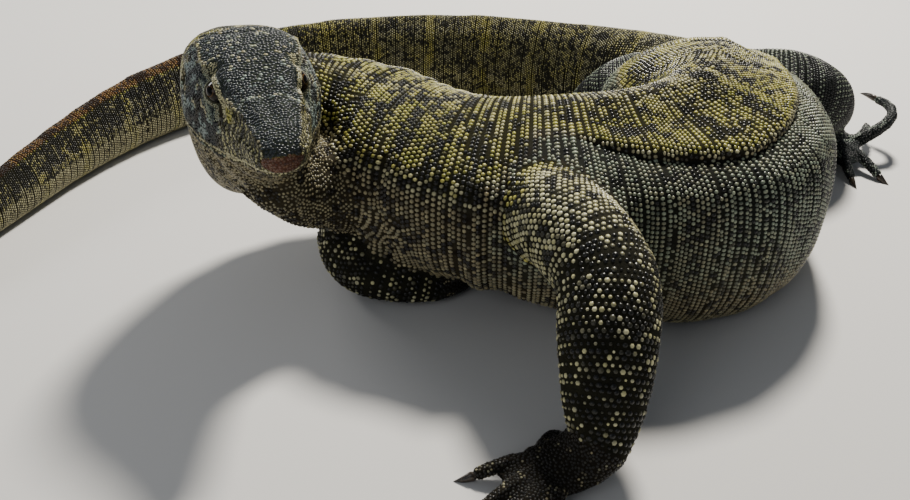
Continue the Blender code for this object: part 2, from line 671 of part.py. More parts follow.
def main():
    for old in list(bpy.data.objects):
        bpy.data.objects.remove(old, do_unlink=True)
    axis = Axis(BODY)
    body = make_body(axis)
    part_jaw(axis, body["head"])
    make_eyes(axis, body["head"])
    make_throat(axis, "throat")
    for thing in body.values():
        set_down(thing)
    arm, leg = ("upper_arm", "forearm", "hand"), ("thigh", "shank", "foot")
    make_leg("fore_left", FORELEG_LEFT, PLANTED_HAND, arm, axis, FORE_CUT_BY)
    make_leg("fore_right", FORELEG_RIGHT, RELAXED_HAND, arm, axis, FORE_CUT_BY, mirrored=True)
    make_leg("hind_left", HINDLEG_LEFT, CURLED_FOOT, leg, axis, HIND_CUT_BY)
    make_leg("hind_right", HINDLEG_RIGHT, SPREAD_FOOT, leg, axis, HIND_CUT_BY, mirrored=True)
    centre_all()


main()
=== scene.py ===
# %% [markdown]
# # A Nile monitor, life size
# The solids of this lizard are made already: plain lengths of body, legs, feet, claws and eyes.
# This notebook gives them their looks, as a museum's model maker would. One skin is drawn over
# all the flesh, thousands of small scales are set on it in rows, and claws and eyes are finished.
# Everything is in metres, with +Z up and the floor at z = 0.

# %% Load the solids
import itertools
import math

import bmesh
import bpy
import numpy as np
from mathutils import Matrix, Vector
from mathutils.bvhtree import BVHTree
from mathutils.kdtree import KDTree
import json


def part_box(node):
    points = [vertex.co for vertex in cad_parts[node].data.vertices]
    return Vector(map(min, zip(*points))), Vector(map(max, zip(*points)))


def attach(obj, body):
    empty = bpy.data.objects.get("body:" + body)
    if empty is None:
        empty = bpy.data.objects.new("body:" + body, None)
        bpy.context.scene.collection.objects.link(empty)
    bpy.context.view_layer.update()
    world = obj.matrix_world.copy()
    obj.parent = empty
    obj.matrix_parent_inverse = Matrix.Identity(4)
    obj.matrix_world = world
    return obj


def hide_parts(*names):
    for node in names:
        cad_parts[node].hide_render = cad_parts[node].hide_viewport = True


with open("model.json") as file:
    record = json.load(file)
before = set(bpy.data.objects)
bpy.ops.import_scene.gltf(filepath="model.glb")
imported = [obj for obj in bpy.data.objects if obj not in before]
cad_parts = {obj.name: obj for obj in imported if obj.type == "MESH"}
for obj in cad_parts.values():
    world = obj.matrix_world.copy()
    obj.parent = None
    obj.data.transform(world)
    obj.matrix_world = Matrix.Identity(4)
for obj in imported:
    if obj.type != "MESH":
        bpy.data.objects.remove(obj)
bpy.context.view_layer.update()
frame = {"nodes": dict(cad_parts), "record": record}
nodes = frame["nodes"]
slots = {part["node"]: part["material_slot"] for part in frame["record"]["subparts"]}
flesh_names = [name for name in nodes if slots[name] == "skin"]
claw_names = [name for name in nodes if slots[name] == "claw"]

# %% [markdown]
# ## The lines through the animal
# A lizard's scales lie in rings round its body and legs, so the maker first needs a line down the
# middle of each. They could be found by slicing the solids, but the same few places that the
# solids were drawn from are simpler. The drawing's own origin lies under the camera.

# %% Places along the body and legs
DRAWING_MOVED = np.array([0.08291, -0.73617, 0.0])  # from the drawing to the model's own origin

BODY_PLACES = (
    ("snout_tip", -0.1098, 0.5565, 0.1700), ("rostrum", -0.1124, 0.5660, 0.1710),
    ("nostrils", -0.1202, 0.5905, 0.1723), ("canthus", -0.1282, 0.6115, 0.1735),
    ("eyes", -0.1376, 0.6340, 0.1750), ("temples", -0.1460, 0.6600, 0.1760),
    ("occiput", -0.1535, 0.6880, 0.1740), ("nape", -0.1465, 0.7170, 0.1530),
    ("neck_bend", -0.1205, 0.7360, 0.1370), ("neck_middle", -0.0800, 0.7330, 0.1260),
    ("neck_base", -0.0310, 0.7120, 0.1170), ("withers", 0.0200, 0.6920, 0.1080),
    ("shoulders", 0.0740, 0.6850, 0.1000), ("chest", 0.1200, 0.6890, 0.0940),
    ("ribs", 0.1610, 0.7030, 0.0890), ("belly", 0.1920, 0.7370, 0.0850),
    ("flank", 0.2110, 0.7830, 0.0830), ("loins", 0.2270, 0.8320, 0.0790),
    ("pelvis", 0.2350, 0.8820, 0.0710), ("vent", 0.2280, 0.9280, 0.0600),
    ("tail_root", 0.2000, 0.9730, 0.0500), ("tail_a", 0.1500, 1.0120, 0.0430),
    ("tail_b", 0.0800, 1.0430, 0.0400), ("tail_c", 0.0000, 1.0620, 0.0385),
    ("tail_d", -0.0900, 1.0660, 0.0370), ("tail_e", -0.1800, 1.0490, 0.0355),
    ("tail_f", -0.2620, 1.0040, 0.0335), ("tail_g", -0.3300, 0.9320, 0.0310),
    ("tail_h", -0.3790, 0.8420, 0.0275), ("tail_i", -0.4150, 0.7440, 0.0230),
    ("tail_j", -0.4570, 0.6560, 0.0185), ("tail_k", -0.5080, 0.5820, 0.0125),
    ("tail_l", -0.5650, 0.5300, 0.0070), ("tail_tip", -0.6180, 0.5000, 0.0034),
)
LEG_STOPS = ("root", "top", "middle", "bend", "shin", "shin_low", "ankle", "palm", "knuckles")
LEG_PLACES = {  # a place for each of the stops
    "fore_left": (
        (0.060, 0.655, 0.096), (0.064, 0.612, 0.106), (0.081, 0.566, 0.112), (0.099, 0.526, 0.103),
        (0.097, 0.491, 0.079), (0.094, 0.466, 0.053), (0.089, 0.450, 0.029), (0.070, 0.446, 0.0135),
        (0.050, 0.441, 0.0105),
    ),
    "fore_right": (
        (0.035, 0.738, 0.062), (-0.010, 0.742, 0.048), (-0.056, 0.722, 0.036), (-0.086, 0.684, 0.034),
        (-0.070, 0.654, 0.028), (-0.040, 0.644, 0.020), (-0.014, 0.648, 0.013), (0.000, 0.662, 0.0105),
        (0.006, 0.680, 0.0085),
    ),
    "hind_left": (
        (0.255, 0.884, 0.072), (0.289, 0.874, 0.081), (0.322, 0.866, 0.083), (0.349, 0.871, 0.075),
        (0.368, 0.889, 0.056), (0.376, 0.904, 0.039), (0.386, 0.911, 0.025), (0.391, 0.901, 0.014),
        (0.395, 0.886, 0.011),
    ),
    "hind_right": (
        (0.222, 0.888, 0.070), (0.192, 0.882, 0.077), (0.164, 0.874, 0.084), (0.145, 0.880, 0.074),
        (0.133, 0.891, 0.058), (0.124, 0.902, 0.042), (0.114, 0.913, 0.027), (0.096, 0.922, 0.014),
        (0.076, 0.919, 0.0105),
    ),
}
LINE_STEP = 0.001
print(len(BODY_PLACES), "places along the body")


# %% A smooth line with its sections' directions
def lengths(vectors):
    return np.linalg.norm(vectors, axis=-1)


def unit(vectors):
    return vectors / np.maximum(lengths(vectors)[..., None], 1e-9)


class Line:
    """A smooth curve through named places, sampled every millimetre with its sections' axes."""

    def __init__(self, places, upright):
        self.names = [place[0] for place in places]
        knots_at = np.array([place[1:] for place in places]) + DRAWING_MOVED
        steps = lengths(np.diff(knots_at, axis=0))
        self.knots = np.concatenate([[0.0], np.cumsum(steps)])
        rises = np.diff(knots_at, axis=0) / steps[:, None]
        share = (steps[1:] / (steps[1:] + steps[:-1]))[:, None]
        slopes = np.concatenate([rises[:1], rises[:-1] * share + rises[1:] * (1 - share), rises[-1:]])
        self.where = np.arange(0.0, self.knots[-1], LINE_STEP)
        i = np.clip(np.searchsorted(self.knots, self.where, side="right") - 1, 0, len(steps) - 1)
        t = ((self.where - self.knots[i]) / steps[i])[:, None]
        a, b = knots_at[i], knots_at[i + 1]
        slope_a, slope_b = slopes[i] * steps[i][:, None], slopes[i + 1] * steps[i][:, None]
        self.middle = (
            (2 * t**3 - 3 * t**2 + 1) * a + (t**3 - 2 * t**2 + t) * slope_a
            + (3 * t**2 - 2 * t**3) * b + (t**3 - t**2) * slope_b
        )
        self.along = unit(np.gradient(self.middle, axis=0))
        self.rise = np.tile([0.0, 0.0, 1.0], (len(self.where), 1))
        if upright:
            self.along = unit(self.along * [1, 1, 0])
        self.left = np.cross(self.along, self.rise)
        if not upright:
            for k in range(1, len(self.left)):  # carry the first section's side along
                side = self.left[k - 1]
                self.left[k] = side - self.along[k] * side.dot(self.along[k])
            self.left = unit(self.left)
            self.rise = np.cross(self.left, self.along)

    def at(self, name):
        return float(self.knots[self.names.index(name)])

    def sample(self, distance):
        """The index of the sample at each distance."""
        return np.clip(np.round(distance / LINE_STEP).astype(int), 0, len(self.where) - 1)


lines = {"body": Line(BODY_PLACES, upright=True)}
for leg, places in LEG_PLACES.items():
    lines[leg] = Line([(stop, *place) for stop, place in zip(LEG_STOPS, places)], upright=False)
body = lines["body"]
print("snout to vent %.3f m, whole line %.3f m" % (body.at("vent"), body.knots[-1]))

# %% [markdown]
# ## One skin over all the flesh
# Real skin has no seams where a leg meets the trunk. The flesh solids are swelled a little so that
# they touch, and a voxel remesh melts them into one closed sheet. It is then relaxed, which takes
# out the solids' facets, and the thin hands and feet are settled back on their solids. Later it is
# sunk by the depth of the scales that will stand on it.

# %% Join and remesh the flesh
SWELL, FEET_SWELL = 0.0007, 0.0026  # closes the thin cuts between solids, and keeps thin toes whole
VOXEL = 0.0045
HEAD, FEET = ("head", "lower_jaw"), ("hand", "foot")  # how the names of these solids start, and end
SCALE_DEPTH = 0.0008  # how deep the skin lies under the solids' faces


def mesh_arrays(mesh):
    places = np.empty(len(mesh.vertices) * 3)
    mesh.vertices.foreach_get("co", places)
    return places.reshape(-1, 3), [tuple(face.vertices) for face in mesh.polygons]


def swollen_flesh(swell, feet_swell):
    """All the flesh solids' corners and faces together, and which solid each face is from."""
    corners, faces, owners = [], [], []
    for name in flesh_names + ["eye_left", "eye_right"]:  # the balls close their sockets
        number = flesh_names.index(name if name in flesh_names else "head")
        solid = bmesh.new()
        solid.from_mesh(nodes[name].data)
        bmesh.ops.remove_doubles(solid, verts=solid.verts, dist=1e-5)
        solid.normal_update()
        more = feet_swell if name.endswith(FEET) else swell
        first = sum(len(c) for c in corners)
        corners.append(np.array([v.co + v.normal * more for v in solid.verts]))
        faces += [tuple(first + v.index for v in face.verts) for face in solid.faces]
        owners += [number] * len(solid.faces)
        solid.free()
    return np.concatenate(corners), faces, np.array(owners)


def into_scene(name, data):
    made = bpy.data.objects.new(name, data)
    bpy.context.scene.collection.objects.link(made)
    return made


def new_piece(name, corners, faces):
    mesh = bpy.data.meshes.new(name)
    mesh.from_pydata([tuple(c) for c in corners], [], faces)
    mesh.update()
    return into_scene(name, mesh)


flesh_corners, flesh_faces, flesh_owner = swollen_flesh(0.0, 0.0)
flesh_tree = BVHTree.FromPolygons([Vector(c) for c in flesh_corners], flesh_faces)
skin = new_piece("skin", *swollen_flesh(SWELL, FEET_SWELL)[:2])
melt = skin.modifiers.new("melt", "REMESH")
melt.mode = "VOXEL"
melt.voxel_size = VOXEL
graph = bpy.context.evaluated_depsgraph_get()
melted = bpy.data.meshes.new_from_object(skin.evaluated_get(graph))
skin.modifiers.clear()
skin.data = melted
print("melted skin:", len(melted.vertices), "corners")


# %% Relax the sheet
def owner_of(places):
    """The flesh solid nearest to each place."""
    found = [flesh_tree.find_nearest(Vector(place))[2] for place in places]
    return flesh_owner[np.array(found)]


def neighbours_sum(values, edges, count):
    """At each corner, the sum of its neighbours' values."""
    total = np.zeros_like(values)
    for axis in range(values.shape[1]):
        total[:, axis] = np.bincount(edges[:, 0], values[edges[:, 1], axis], count)
        total[:, axis] += np.bincount(edges[:, 1], values[edges[:, 0], axis], count)
    return total


def relax(places, edges, turns, strength, backward=0.0):
    """Moves every corner towards its neighbours' middle; a backward pull keeps thin parts full."""
    count = len(places)
    neighbours = np.bincount(edges.ravel(), minlength=count)[:, None]
    for _ in range(turns):
        for pull in (strength, -backward):
            places = places + pull * (neighbours_sum(places, edges, count) / neighbours - places)
    return places


def mesh_edges(mesh):
    ends = np.empty(len(mesh.edges) * 2, dtype=np.int32)
    mesh.edges.foreach_get("vertices", ends)
    return ends.reshape(-1, 2)


def belongs(owners, test):
    """Whether each owner is a flesh solid whose name passes the test."""
    return np.isin(owners, [i for i, name in enumerate(flesh_names) if test(name)])


def settle(places, owners):
    """Puts the corners of hands and feet back on their solids."""
    for i in np.nonzero(belongs(owners, lambda name: name.endswith(FEET)))[0]:
        places[i] = flesh_tree.find_nearest(Vector(places[i]))[0]
    return places


skin_places, _ = mesh_arrays(melted)
skin_edges = mesh_edges(melted)
skin_owner = owner_of(skin_places)
SOFTNESS = {"trunk": 1.0, "neck": 1.0, "throat": 0.9, "tail": 0.5, "head": 0.35}
FIRM = 0.3  # the jaw and legs
TURNS, STRENGTH = 30, 0.5
softness = np.array([SOFTNESS.get(name.split("_")[0], FIRM) for name in flesh_names])
skin_places = relax(skin_places, skin_edges, TURNS, STRENGTH, 0.53)
soft = softness[skin_owner][:, None]
skin_places = settle(relax(skin_places, skin_edges, TURNS, STRENGTH * soft), skin_owner)
melted.vertices.foreach_set("co", skin_places.ravel())
melted.update()
print("skin spans", skin_places.min(0).round(3), skin_places.max(0).round(3))

# %% [markdown]
# ## Where things are on the head
# The lips, the nostrils, the ears and the edge of the flat crown are each given by a few numbers in
# the head's own directions. The same numbers later shape the skin, place the scales and colour them.

# %% Places on the head, from the snout's tip: back along it, to its left, and up
EYES = {}
for name in ("eye_left", "eye_right"):
    low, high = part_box(name)
    EYES[name] = (np.array(low) + np.array(high)) / 2
EYE_RADIUS = float((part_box("eye_left")[1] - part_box("eye_left")[0]).x) / 2
head_tip = body.middle[0]
head_back = unit(body.middle[body.sample(body.at("occiput"))] - head_tip)
head_left = unit(np.cross(head_back, [0.0, 0.0, 1.0]))
head_up = np.cross(head_left, head_back)
head_line = body.middle[: body.sample(body.at("nape"))] - head_tip
print("eye radius %.4f, head length %.3f" % (EYE_RADIUS, body.at("occiput")))


def head_coordinates(places):
    """Back from the tip, left of the head's own middle line, which bends a little, and up."""
    gap = places - head_tip
    back = gap @ head_back
    middle = np.interp(back, head_line @ head_back, head_line @ head_left)
    return back, gap @ head_left - middle, gap @ head_up


CROWN_EDGE = ((0.010, 0.0120), (0.020, 0.0150), (0.040, 0.0185), (0.060, 0.0245), (0.083, 0.0300),
              (0.105, 0.0345), (0.135, 0.0350))  # back, and half the flat crown's width there
MOUTH_LINE = ((-0.005, -0.0085), (0.010, -0.0112), (0.030, -0.0165), (0.055, -0.0205), (0.090, -0.0235),
              (0.110, -0.0200), (0.120, -0.0150))  # back, and how high the lips meet
# Each opening: its middle, the direction it runs in, half its length and half its height.
NOSTRIL = ((0.0500, 0.0245, 0.0140), (0.847, -0.10, 0.532), 0.0045, 0.0021)
EAR = ((0.1210, 0.0470, 0.0130), (0.15, 0.0, 1.0), 0.0068, 0.0040)


def crown_edge(places):
    """How far inside the crown's edge each place lies, in metres; below the crown it is negative."""
    back, side, up = head_coordinates(places)
    half = np.interp(back, *zip(*CROWN_EDGE))
    return np.where(up > 0.002, half - np.abs(side), -0.02)


def above_mouth(places):
    """How high each place lies above the line where the lips meet; 0.05 away from the head."""
    back, side, up = head_coordinates(places)
    near = (back < 0.120) & (np.abs(side) < 0.07)
    return np.where(near, up - np.interp(back, *zip(*MOUTH_LINE)), 0.05)


def rostrum_share(place):
    """1 on the rust plate at the front of the upper jaw."""
    back, side, up = head_coordinates(place)
    lens = 1 - (side / 0.0155) ** 2 - ((up + 0.0028) / 0.0072) ** 2
    return ramp(lens, 0.0, 0.35) * ramp(back, 0.020, 0.016) * ramp(above_mouth(place), 0.0004, 0.0014)


def oval_distance(places, middle, runs, long, high):
    """1 on the rim of an oval opening on either side of the head, less inside it."""
    gap = np.stack(head_coordinates(places), axis=1)
    gap[:, 1] = np.abs(gap[:, 1])
    gap -= middle
    runs = np.array(runs) / np.linalg.norm(runs)
    far = gap @ runs
    return np.sqrt((far / long) ** 2 + ((gap**2).sum(1) - far**2) / high**2)


# %% [markdown]
# ## Finer sheet where the detail is
# The head and feet carry lids, lips and small folds, which need corners closer together than the
# trunk does. Cutting each face there into four keeps it one sheet, so no seam appears.

# %% Cut the head and feet finer
def cut_finer(mesh, wanted):
    """Cuts each edge in two where both its ends are wanted, and fills the faces between."""
    sheet = bmesh.new()
    sheet.from_mesh(mesh)
    chosen = [e for e in sheet.edges if wanted[e.verts[0].index] and wanted[e.verts[1].index]]
    bmesh.ops.subdivide_edges(sheet, edges=chosen, cuts=1, use_grid_fill=True)
    wide = [face for face in sheet.faces if len(face.verts) > 4]
    bmesh.ops.triangulate(sheet, faces=wide)
    sheet.to_mesh(mesh)
    sheet.free()
    mesh.update()
    return mesh_arrays(mesh)[0]


def near_eyes(places, reach):
    return np.min([lengths(places - eye) for eye in EYES.values()], axis=0) < reach


EYE_AREA, LIDS_AREA = 0.018, 0.013  # how far round an eye the second and the third cut reach
MUZZLE_LONG, NOSTRIL_BACK = 0.035, 0.08  # how far from the snout's tip the same two cuts reach
skin_places = cut_finer(melted, belongs(skin_owner, lambda name: name.endswith(FEET) or name in HEAD))
close = near_eyes(skin_places, EYE_AREA) | (lengths(skin_places - head_tip) < MUZZLE_LONG)
close |= (np.abs(crown_edge(skin_places)) < 0.006) & (head_coordinates(skin_places)[0] < 0.14)
close |= (np.abs(above_mouth(skin_places)) < 0.005) | (oval_distance(skin_places, *NOSTRIL) < 3)
skin_places = cut_finer(melted, close)
near_nostril = oval_distance(skin_places, *NOSTRIL) < 2.4
near_nostril &= lengths(skin_places - head_tip) < NOSTRIL_BACK
skin_places = cut_finer(melted, near_eyes(skin_places, LIDS_AREA) | near_nostril)
skin_edges = mesh_edges(melted)
skin_owner = owner_of(skin_places)
skin_places = relax(settle(skin_places, skin_owner), skin_edges, 6, STRENGTH, 0.52)
melted.vertices.foreach_set("co", skin_places.ravel())
melted.update()
triangle_count = sum(len(face.vertices) - 2 for face in melted.polygons)
print("skin now has", len(skin_places), "corners,", triangle_count, "triangles")

# %% [markdown]
# ## Where each bit of skin lies on the animal
# Folds, markings and scale sizes all follow the body, so every corner is told how far along its
# line it lies, and how far round from the spine. The nearest sample of the line gives both.

# %% Distances along and round each line
SPANS = {
    "head": ("body", "snout_tip", "occiput"), "lower_jaw": ("body", "snout_tip", "occiput"),
    "throat": ("body", "eyes", "withers"), "neck_front": ("body", "occiput", "neck_middle"),
    "neck_rear": ("body", "neck_middle", "withers"), "trunk_front": ("body", "withers", "chest"),
    "trunk_middle": ("body", "chest", "flank"), "trunk_rear": ("body", "flank", "vent"),
}
TAIL_STOPS = ("vent", "tail_b", "tail_d", "tail_f", "tail_h", "tail_j", "tail_tip")
for number, (first, last) in enumerate(zip(TAIL_STOPS, TAIL_STOPS[1:]), start=1):
    SPANS[f"tail_{number}"] = ("body", first, last)
for leg in LEG_PLACES:
    upper, lower, end = ("upper_arm", "forearm", "hand") if "fore" in leg else ("thigh", "shank", "foot")
    SPANS[f"{leg}_{upper}"] = (leg, "root", "bend")
    SPANS[f"{leg}_{lower}"] = (leg, "bend", "ankle")
    SPANS[f"{leg}_{end}"] = (leg, "ankle", "knuckles")

SPARE = 6  # samples that a solid may take beyond its own span
AT_ONCE = 4000  # places worked out together, to save memory


class Where:
    """For each place: its distance along its own line, and its angle from the top."""

    def __init__(self, places, owners):
        self.distance, self.angle = np.zeros(len(places)), np.zeros(len(places))
        self.owner = owners
        self.head, self.feet = self.of(*HEAD), belongs(owners, lambda name: name.endswith(FEET))
        for number, name in enumerate(flesh_names):
            mine = np.nonzero(owners == number)[0]
            if len(mine) == 0:
                continue
            line_name, first, last = SPANS[name]
            line = lines[line_name]
            low, high = line.sample(line.at(first)) - SPARE, line.sample(line.at(last)) + SPARE
            window = np.arange(max(low, 0), min(high, len(line.where)))
            use = np.array([1, 1, 0]) if line_name == "body" else np.array([1, 1, 1])
            best = np.empty(len(mine), dtype=int)
            for part in np.array_split(np.arange(len(mine)), max(1, len(mine) // AT_ONCE)):
                gaps = (places[mine[part], None, :] - line.middle[None, window, :]) * use
                best[part] = window[(gaps**2).sum(-1).argmin(1)]
            gap = places[mine] - line.middle[best]
            past = np.clip((gap * line.along[best]).sum(-1), -LINE_STEP, LINE_STEP)
            self.distance[mine] = line.where[best] + past
            side, high_up = (gap * line.left[best]).sum(-1), (gap * line.rise[best]).sum(-1)
            self.angle[mine] = np.arctan2(side, high_up)

    def of(self, *words):
        """Whether each place belongs to solids whose names start with any of the words."""
        return belongs(self.owner, lambda name: name.startswith(words))


on_skin = Where(skin_places, skin_owner)
print("corners on the trunk:", int(on_skin.of("trunk").sum()), "on the head:", int(on_skin.head.sum()))

# %% [markdown]
# ## Folds and wrinkles
# Loose skin shows that the animal is alive: a long fold hangs over the flank, the neck wrinkles
# as it turns, and the throat sags in creases. Each is a smooth hump or groove, added along the
# skin's own normals. A sculptor would brush them in; a few formulas keep them easy to change.

# %% Humps, ramps and soft noise
def hump(values, middle, width):
    return np.exp(-(((values - middle) / width) ** 2))


def ramp(values, start, end):
    """0 before start, 1 after end, smooth between; start may be the larger."""
    t = np.clip((values - start) / (end - start), 0, 1)
    return t * t * (3 - 2 * t)


def cell_value(x, y, z, seed):
    """A steady random number from 0 to 1 for each cell of a grid."""
    mixed = (x * 73856093) ^ (y * 19349663) ^ (z * 83492791) ^ (seed * 2654435761)
    mixed = (mixed ^ (mixed >> 13)) * 1274126177
    return ((mixed ^ (mixed >> 16)) & 0xFFFF) / 65535.0


def soft_noise(places, size, seed=0):
    """Smooth noise from 0 to 1 whose blots are about one size across."""
    grid = np.asarray(places) / size + 37.7 + seed * 13.3
    corner = np.floor(grid).astype(np.int64)
    part = grid - corner
    part = part * part * (3 - 2 * part)
    total = np.zeros(len(grid))
    for dx, dy, dz in itertools.product((0, 1), repeat=3):
        value = cell_value(corner[:, 0] + dx, corner[:, 1] + dy, corner[:, 2] + dz, seed)
        weight = (part[:, 0] if dx else 1 - part[:, 0]) * (part[:, 1] if dy else 1 - part[:, 1])
        total += value * weight * (part[:, 2] if dz else 1 - part[:, 2])
    return total


def spot_distance(places, size, seed=0):
    """How far each place is from the nearest of many scattered spots, about one size apart."""
    grid = np.asarray(places) / size + 11.3 * (seed + 1)
    corner = np.floor(grid).astype(np.int64)
    nearest = np.full(len(grid), 9.0)
    for step in itertools.product((-1, 0, 1), repeat=3):
        x, y, z = (corner + step).T
        spot = np.column_stack([x, y, z]) + np.column_stack(
            [cell_value(x, y, z, seed), cell_value(x, y, z, seed + 31), cell_value(x, y, z, seed + 57)]
        )
        nearest = np.minimum(nearest, lengths(grid - spot))
    return nearest * size


def corner_normals(mesh):
    normals = np.empty(len(mesh.vertices) * 3)
    mesh.vertices.foreach_get("normal", normals)
    return normals.reshape(-1, 3)


print("middling noise: %.2f" % soft_noise(skin_places, 0.01).mean())


# %% Folds of the trunk, neck and throat
# Where the edge of the back's loose fold runs: along the body, and round from the spine.
FOLD_EDGE = (("shoulders", 38), ("chest", 54), ("ribs", 59), ("belly", 53), ("flank", 49), ("loins", 47),
             ("vent", 44))
FOLD_AT, FOLD_TURNS = [body.at(name) for name, _ in FOLD_EDGE], [degrees for _, degrees in FOLD_EDGE]
FOLD_STANDS, FOLD_UNDER, FOLD_FADES = 0.0034, 0.0048, 0.20
SPINE_HOLLOW = 0.0022  # beside the spine, which stands up by as much
WRINKLE_DEEP, WRINKLE_LONG = 0.0011, 0.0125
SHOULDER_FOLD, THROAT_CREASE, TAIL_KEEL, TRUNK_LUMPS = 0.0034, 0.0010, 0.0018, 0.0009


def past_fold(at):
    """How far past the fold's edge each place lies, as an angle round the body."""
    return at.angle - np.radians(np.interp(at.distance, FOLD_AT, FOLD_TURNS))


def fold_share(at):
    """1 along the fold's length on the left side of the trunk, 0 away from it."""
    along = ramp(at.distance, body.at("shoulders") - 0.005, body.at("chest"))
    return at.of("trunk") * along * ramp(at.distance, body.at("vent") - 0.01, body.at("loins") - 0.01)


def fold_heights(place, at):
    """How far the loose skin stands out at each place, in metres."""
    d, angle = at.distance, at.angle
    past, share = past_fold(at), fold_share(at)
    over = FOLD_STANDS * np.exp(-((past / FOLD_FADES) ** 2))
    step = ramp(past, -0.004, 0.024)
    under = -FOLD_UNDER * np.exp(-np.maximum(past, 0) / FOLD_FADES)
    height = share * (over * (1 - step) + under * step)
    height -= share * SPINE_HOLLOW * hump(angle, math.radians(33), math.radians(11))
    height += share * SPINE_HOLLOW * hump(angle, math.radians(9), math.radians(5))
    neck = at.of("neck", "throat", "trunk_front")
    bent = soft_noise(place, 0.045, 3) * 0.030
    waves = np.sin((d + bent) / WRINKLE_LONG * 2 * math.pi * 0.55)
    side = 0.35 + 0.65 * ramp(np.abs(angle), 0.6, 1.6)
    height += neck * WRINKLE_DEEP * waves * side * ramp(d, body.at("shoulders"), body.at("neck_base"))
    behind = d - body.at("withers")
    shoulder_fold = hump(behind, 0.012, 0.006) - 0.8 * hump(behind, 0.026, 0.007)
    height += neck * SHOULDER_FOLD * shoulder_fold * ramp(np.abs(angle), 0.7, 1.3)
    folds = np.sin((d + soft_noise(place, 0.03, 6) * 0.02) / 0.0085 * 2 * math.pi * 0.5)
    height += at.of("throat", "lower_jaw") * THROAT_CREASE * folds
    keel_angle = -0.26 * ramp(d, body.at("tail_c"), body.at("tail_e"))
    keel = ramp(d, body.at("tail_a"), body.at("tail_c")) * hump(angle, keel_angle, 0.10)
    height += at.of("tail") * TAIL_KEEL * keel
    height += at.of("trunk") * TRUNK_LUMPS * (soft_noise(place, 0.03, 5) - 0.5) * 2
    return height


near_edge = (np.abs(past_fold(on_skin)) < 0.085) & (fold_share(on_skin) > 0)
skin_places = cut_finer(melted, near_edge)
skin_owner = owner_of(skin_places)
on_skin = Where(skin_places, skin_owner)
lip = fold_share(on_skin) * hump(past_fold(on_skin), -0.010, 0.026)
stands = fold_heights(skin_places, on_skin) - SCALE_DEPTH
skin_places = skin_places + corner_normals(melted) * stands[:, None]
skin_places[:, 2] -= 0.0030 * lip  # the edge hangs over
print("fold's edge:", int((lip > 0.5).sum()), "corners of", len(skin_places))

# %% [markdown]
# ## The head
# The head is what everyone looks at first. The eye lies under a brow ridge between two thick
# lids, the closed mouth is a long line with lips, the nostril is a slit near the eye, and the ear
# is an open oval behind the jaw's corner. All of these are pressed into the same sheet.

# %% Lids round the eyes
EYE_OPEN_LONG = math.radians(80)  # half the opening's length, as an angle at the eye's middle
EYE_OPEN_UP, EYE_OPEN_DOWN = math.radians(29), math.radians(31)
LID_THICK = 0.0012
LID_REACH = 0.021  # from the eye's middle
SUNK = 0.86  # the skin inside the opening lies within the ball, at this share of its radius


def eye_directions(name):
    """Outward, forward and up for an eye; the slit tilts down to the front."""
    side = 1 if name == "eye_left" else -1
    outward = unit(head_left * side * 0.76 - head_back * 0.48 + head_up * 0.36)
    forward = -head_back * 0.80 - head_up * 0.60
    forward = unit(forward - outward * forward.dot(outward))
    upward = np.cross(forward, outward) * side
    return outward, forward, upward if upward.dot(head_up) > 0 else -upward


def beyond_lid(places):
    """For places near an eye: how far outside the opening's rim, whether above it, and how far off."""
    outside, above, reach = (np.full(len(places), value) for value in (1.0, 0.0, 1.0))
    for name, middle in EYES.items():
        outward, forward, upward = eye_directions(name)
        ray, far = unit(places - middle), lengths(places - middle)
        a = np.arctan2(ray @ forward, ray @ outward)
        b = np.arctan2(ray @ upward, np.hypot(ray @ outward, ray @ forward))
        length = np.clip(np.abs(a) / EYE_OPEN_LONG, 0, 1)
        rim = np.where(b > 0, EYE_OPEN_UP, EYE_OPEN_DOWN) * (1 - length**2)
        past = np.where(np.abs(a) < EYE_OPEN_LONG, np.abs(b) - rim, np.hypot(np.abs(a) - EYE_OPEN_LONG, b))
        mine = (far < LID_REACH) & (ray @ outward > -0.10)
        outside = np.where(mine, past * EYE_RADIUS, outside)
        above = np.where(mine, (b > 0).astype(float), above)
        reach = np.where(mine, far, reach)
    return outside, above, reach


def press_lids(places):
    """Shapes two thick lids and their creases round each ball, and sinks the skin in the opening."""
    outside, above, reach = beyond_lid(places)
    for middle in EYES.values():
        mine = np.nonzero((lengths(places - middle) < LID_REACH) & (outside < 0.5))[0]
        past, ray, far = outside[mine], unit(places[mine] - middle), reach[mine]
        thick = LID_THICK * (1 + 0.5 * above[mine])
        lid = EYE_RADIUS + thick * ramp(past, -0.0004, 0.0009)
        blend = ramp(past, 0.0070, 0.0020)
        folds = 0.0009 * hump(past, 0.0030, 0.0010)
        folds -= 0.0011 * (1 - 0.8 * above[mine]) * hump(past, 0.0044, 0.0008)
        folds += 0.0007 * (1 - above[mine]) * hump(past, 0.0060, 0.0009)
        new = far * (1 - blend) + lid * blend + folds
        least = EYE_RADIUS * ramp(past, 0.004, 0.002)
        new = np.where(past < 0, EYE_RADIUS * SUNK, np.maximum(new, least))
        places[mine] = middle + ray * new[:, None]
    return places


print("an eye looks out along", eye_directions("eye_left")[0].round(2))


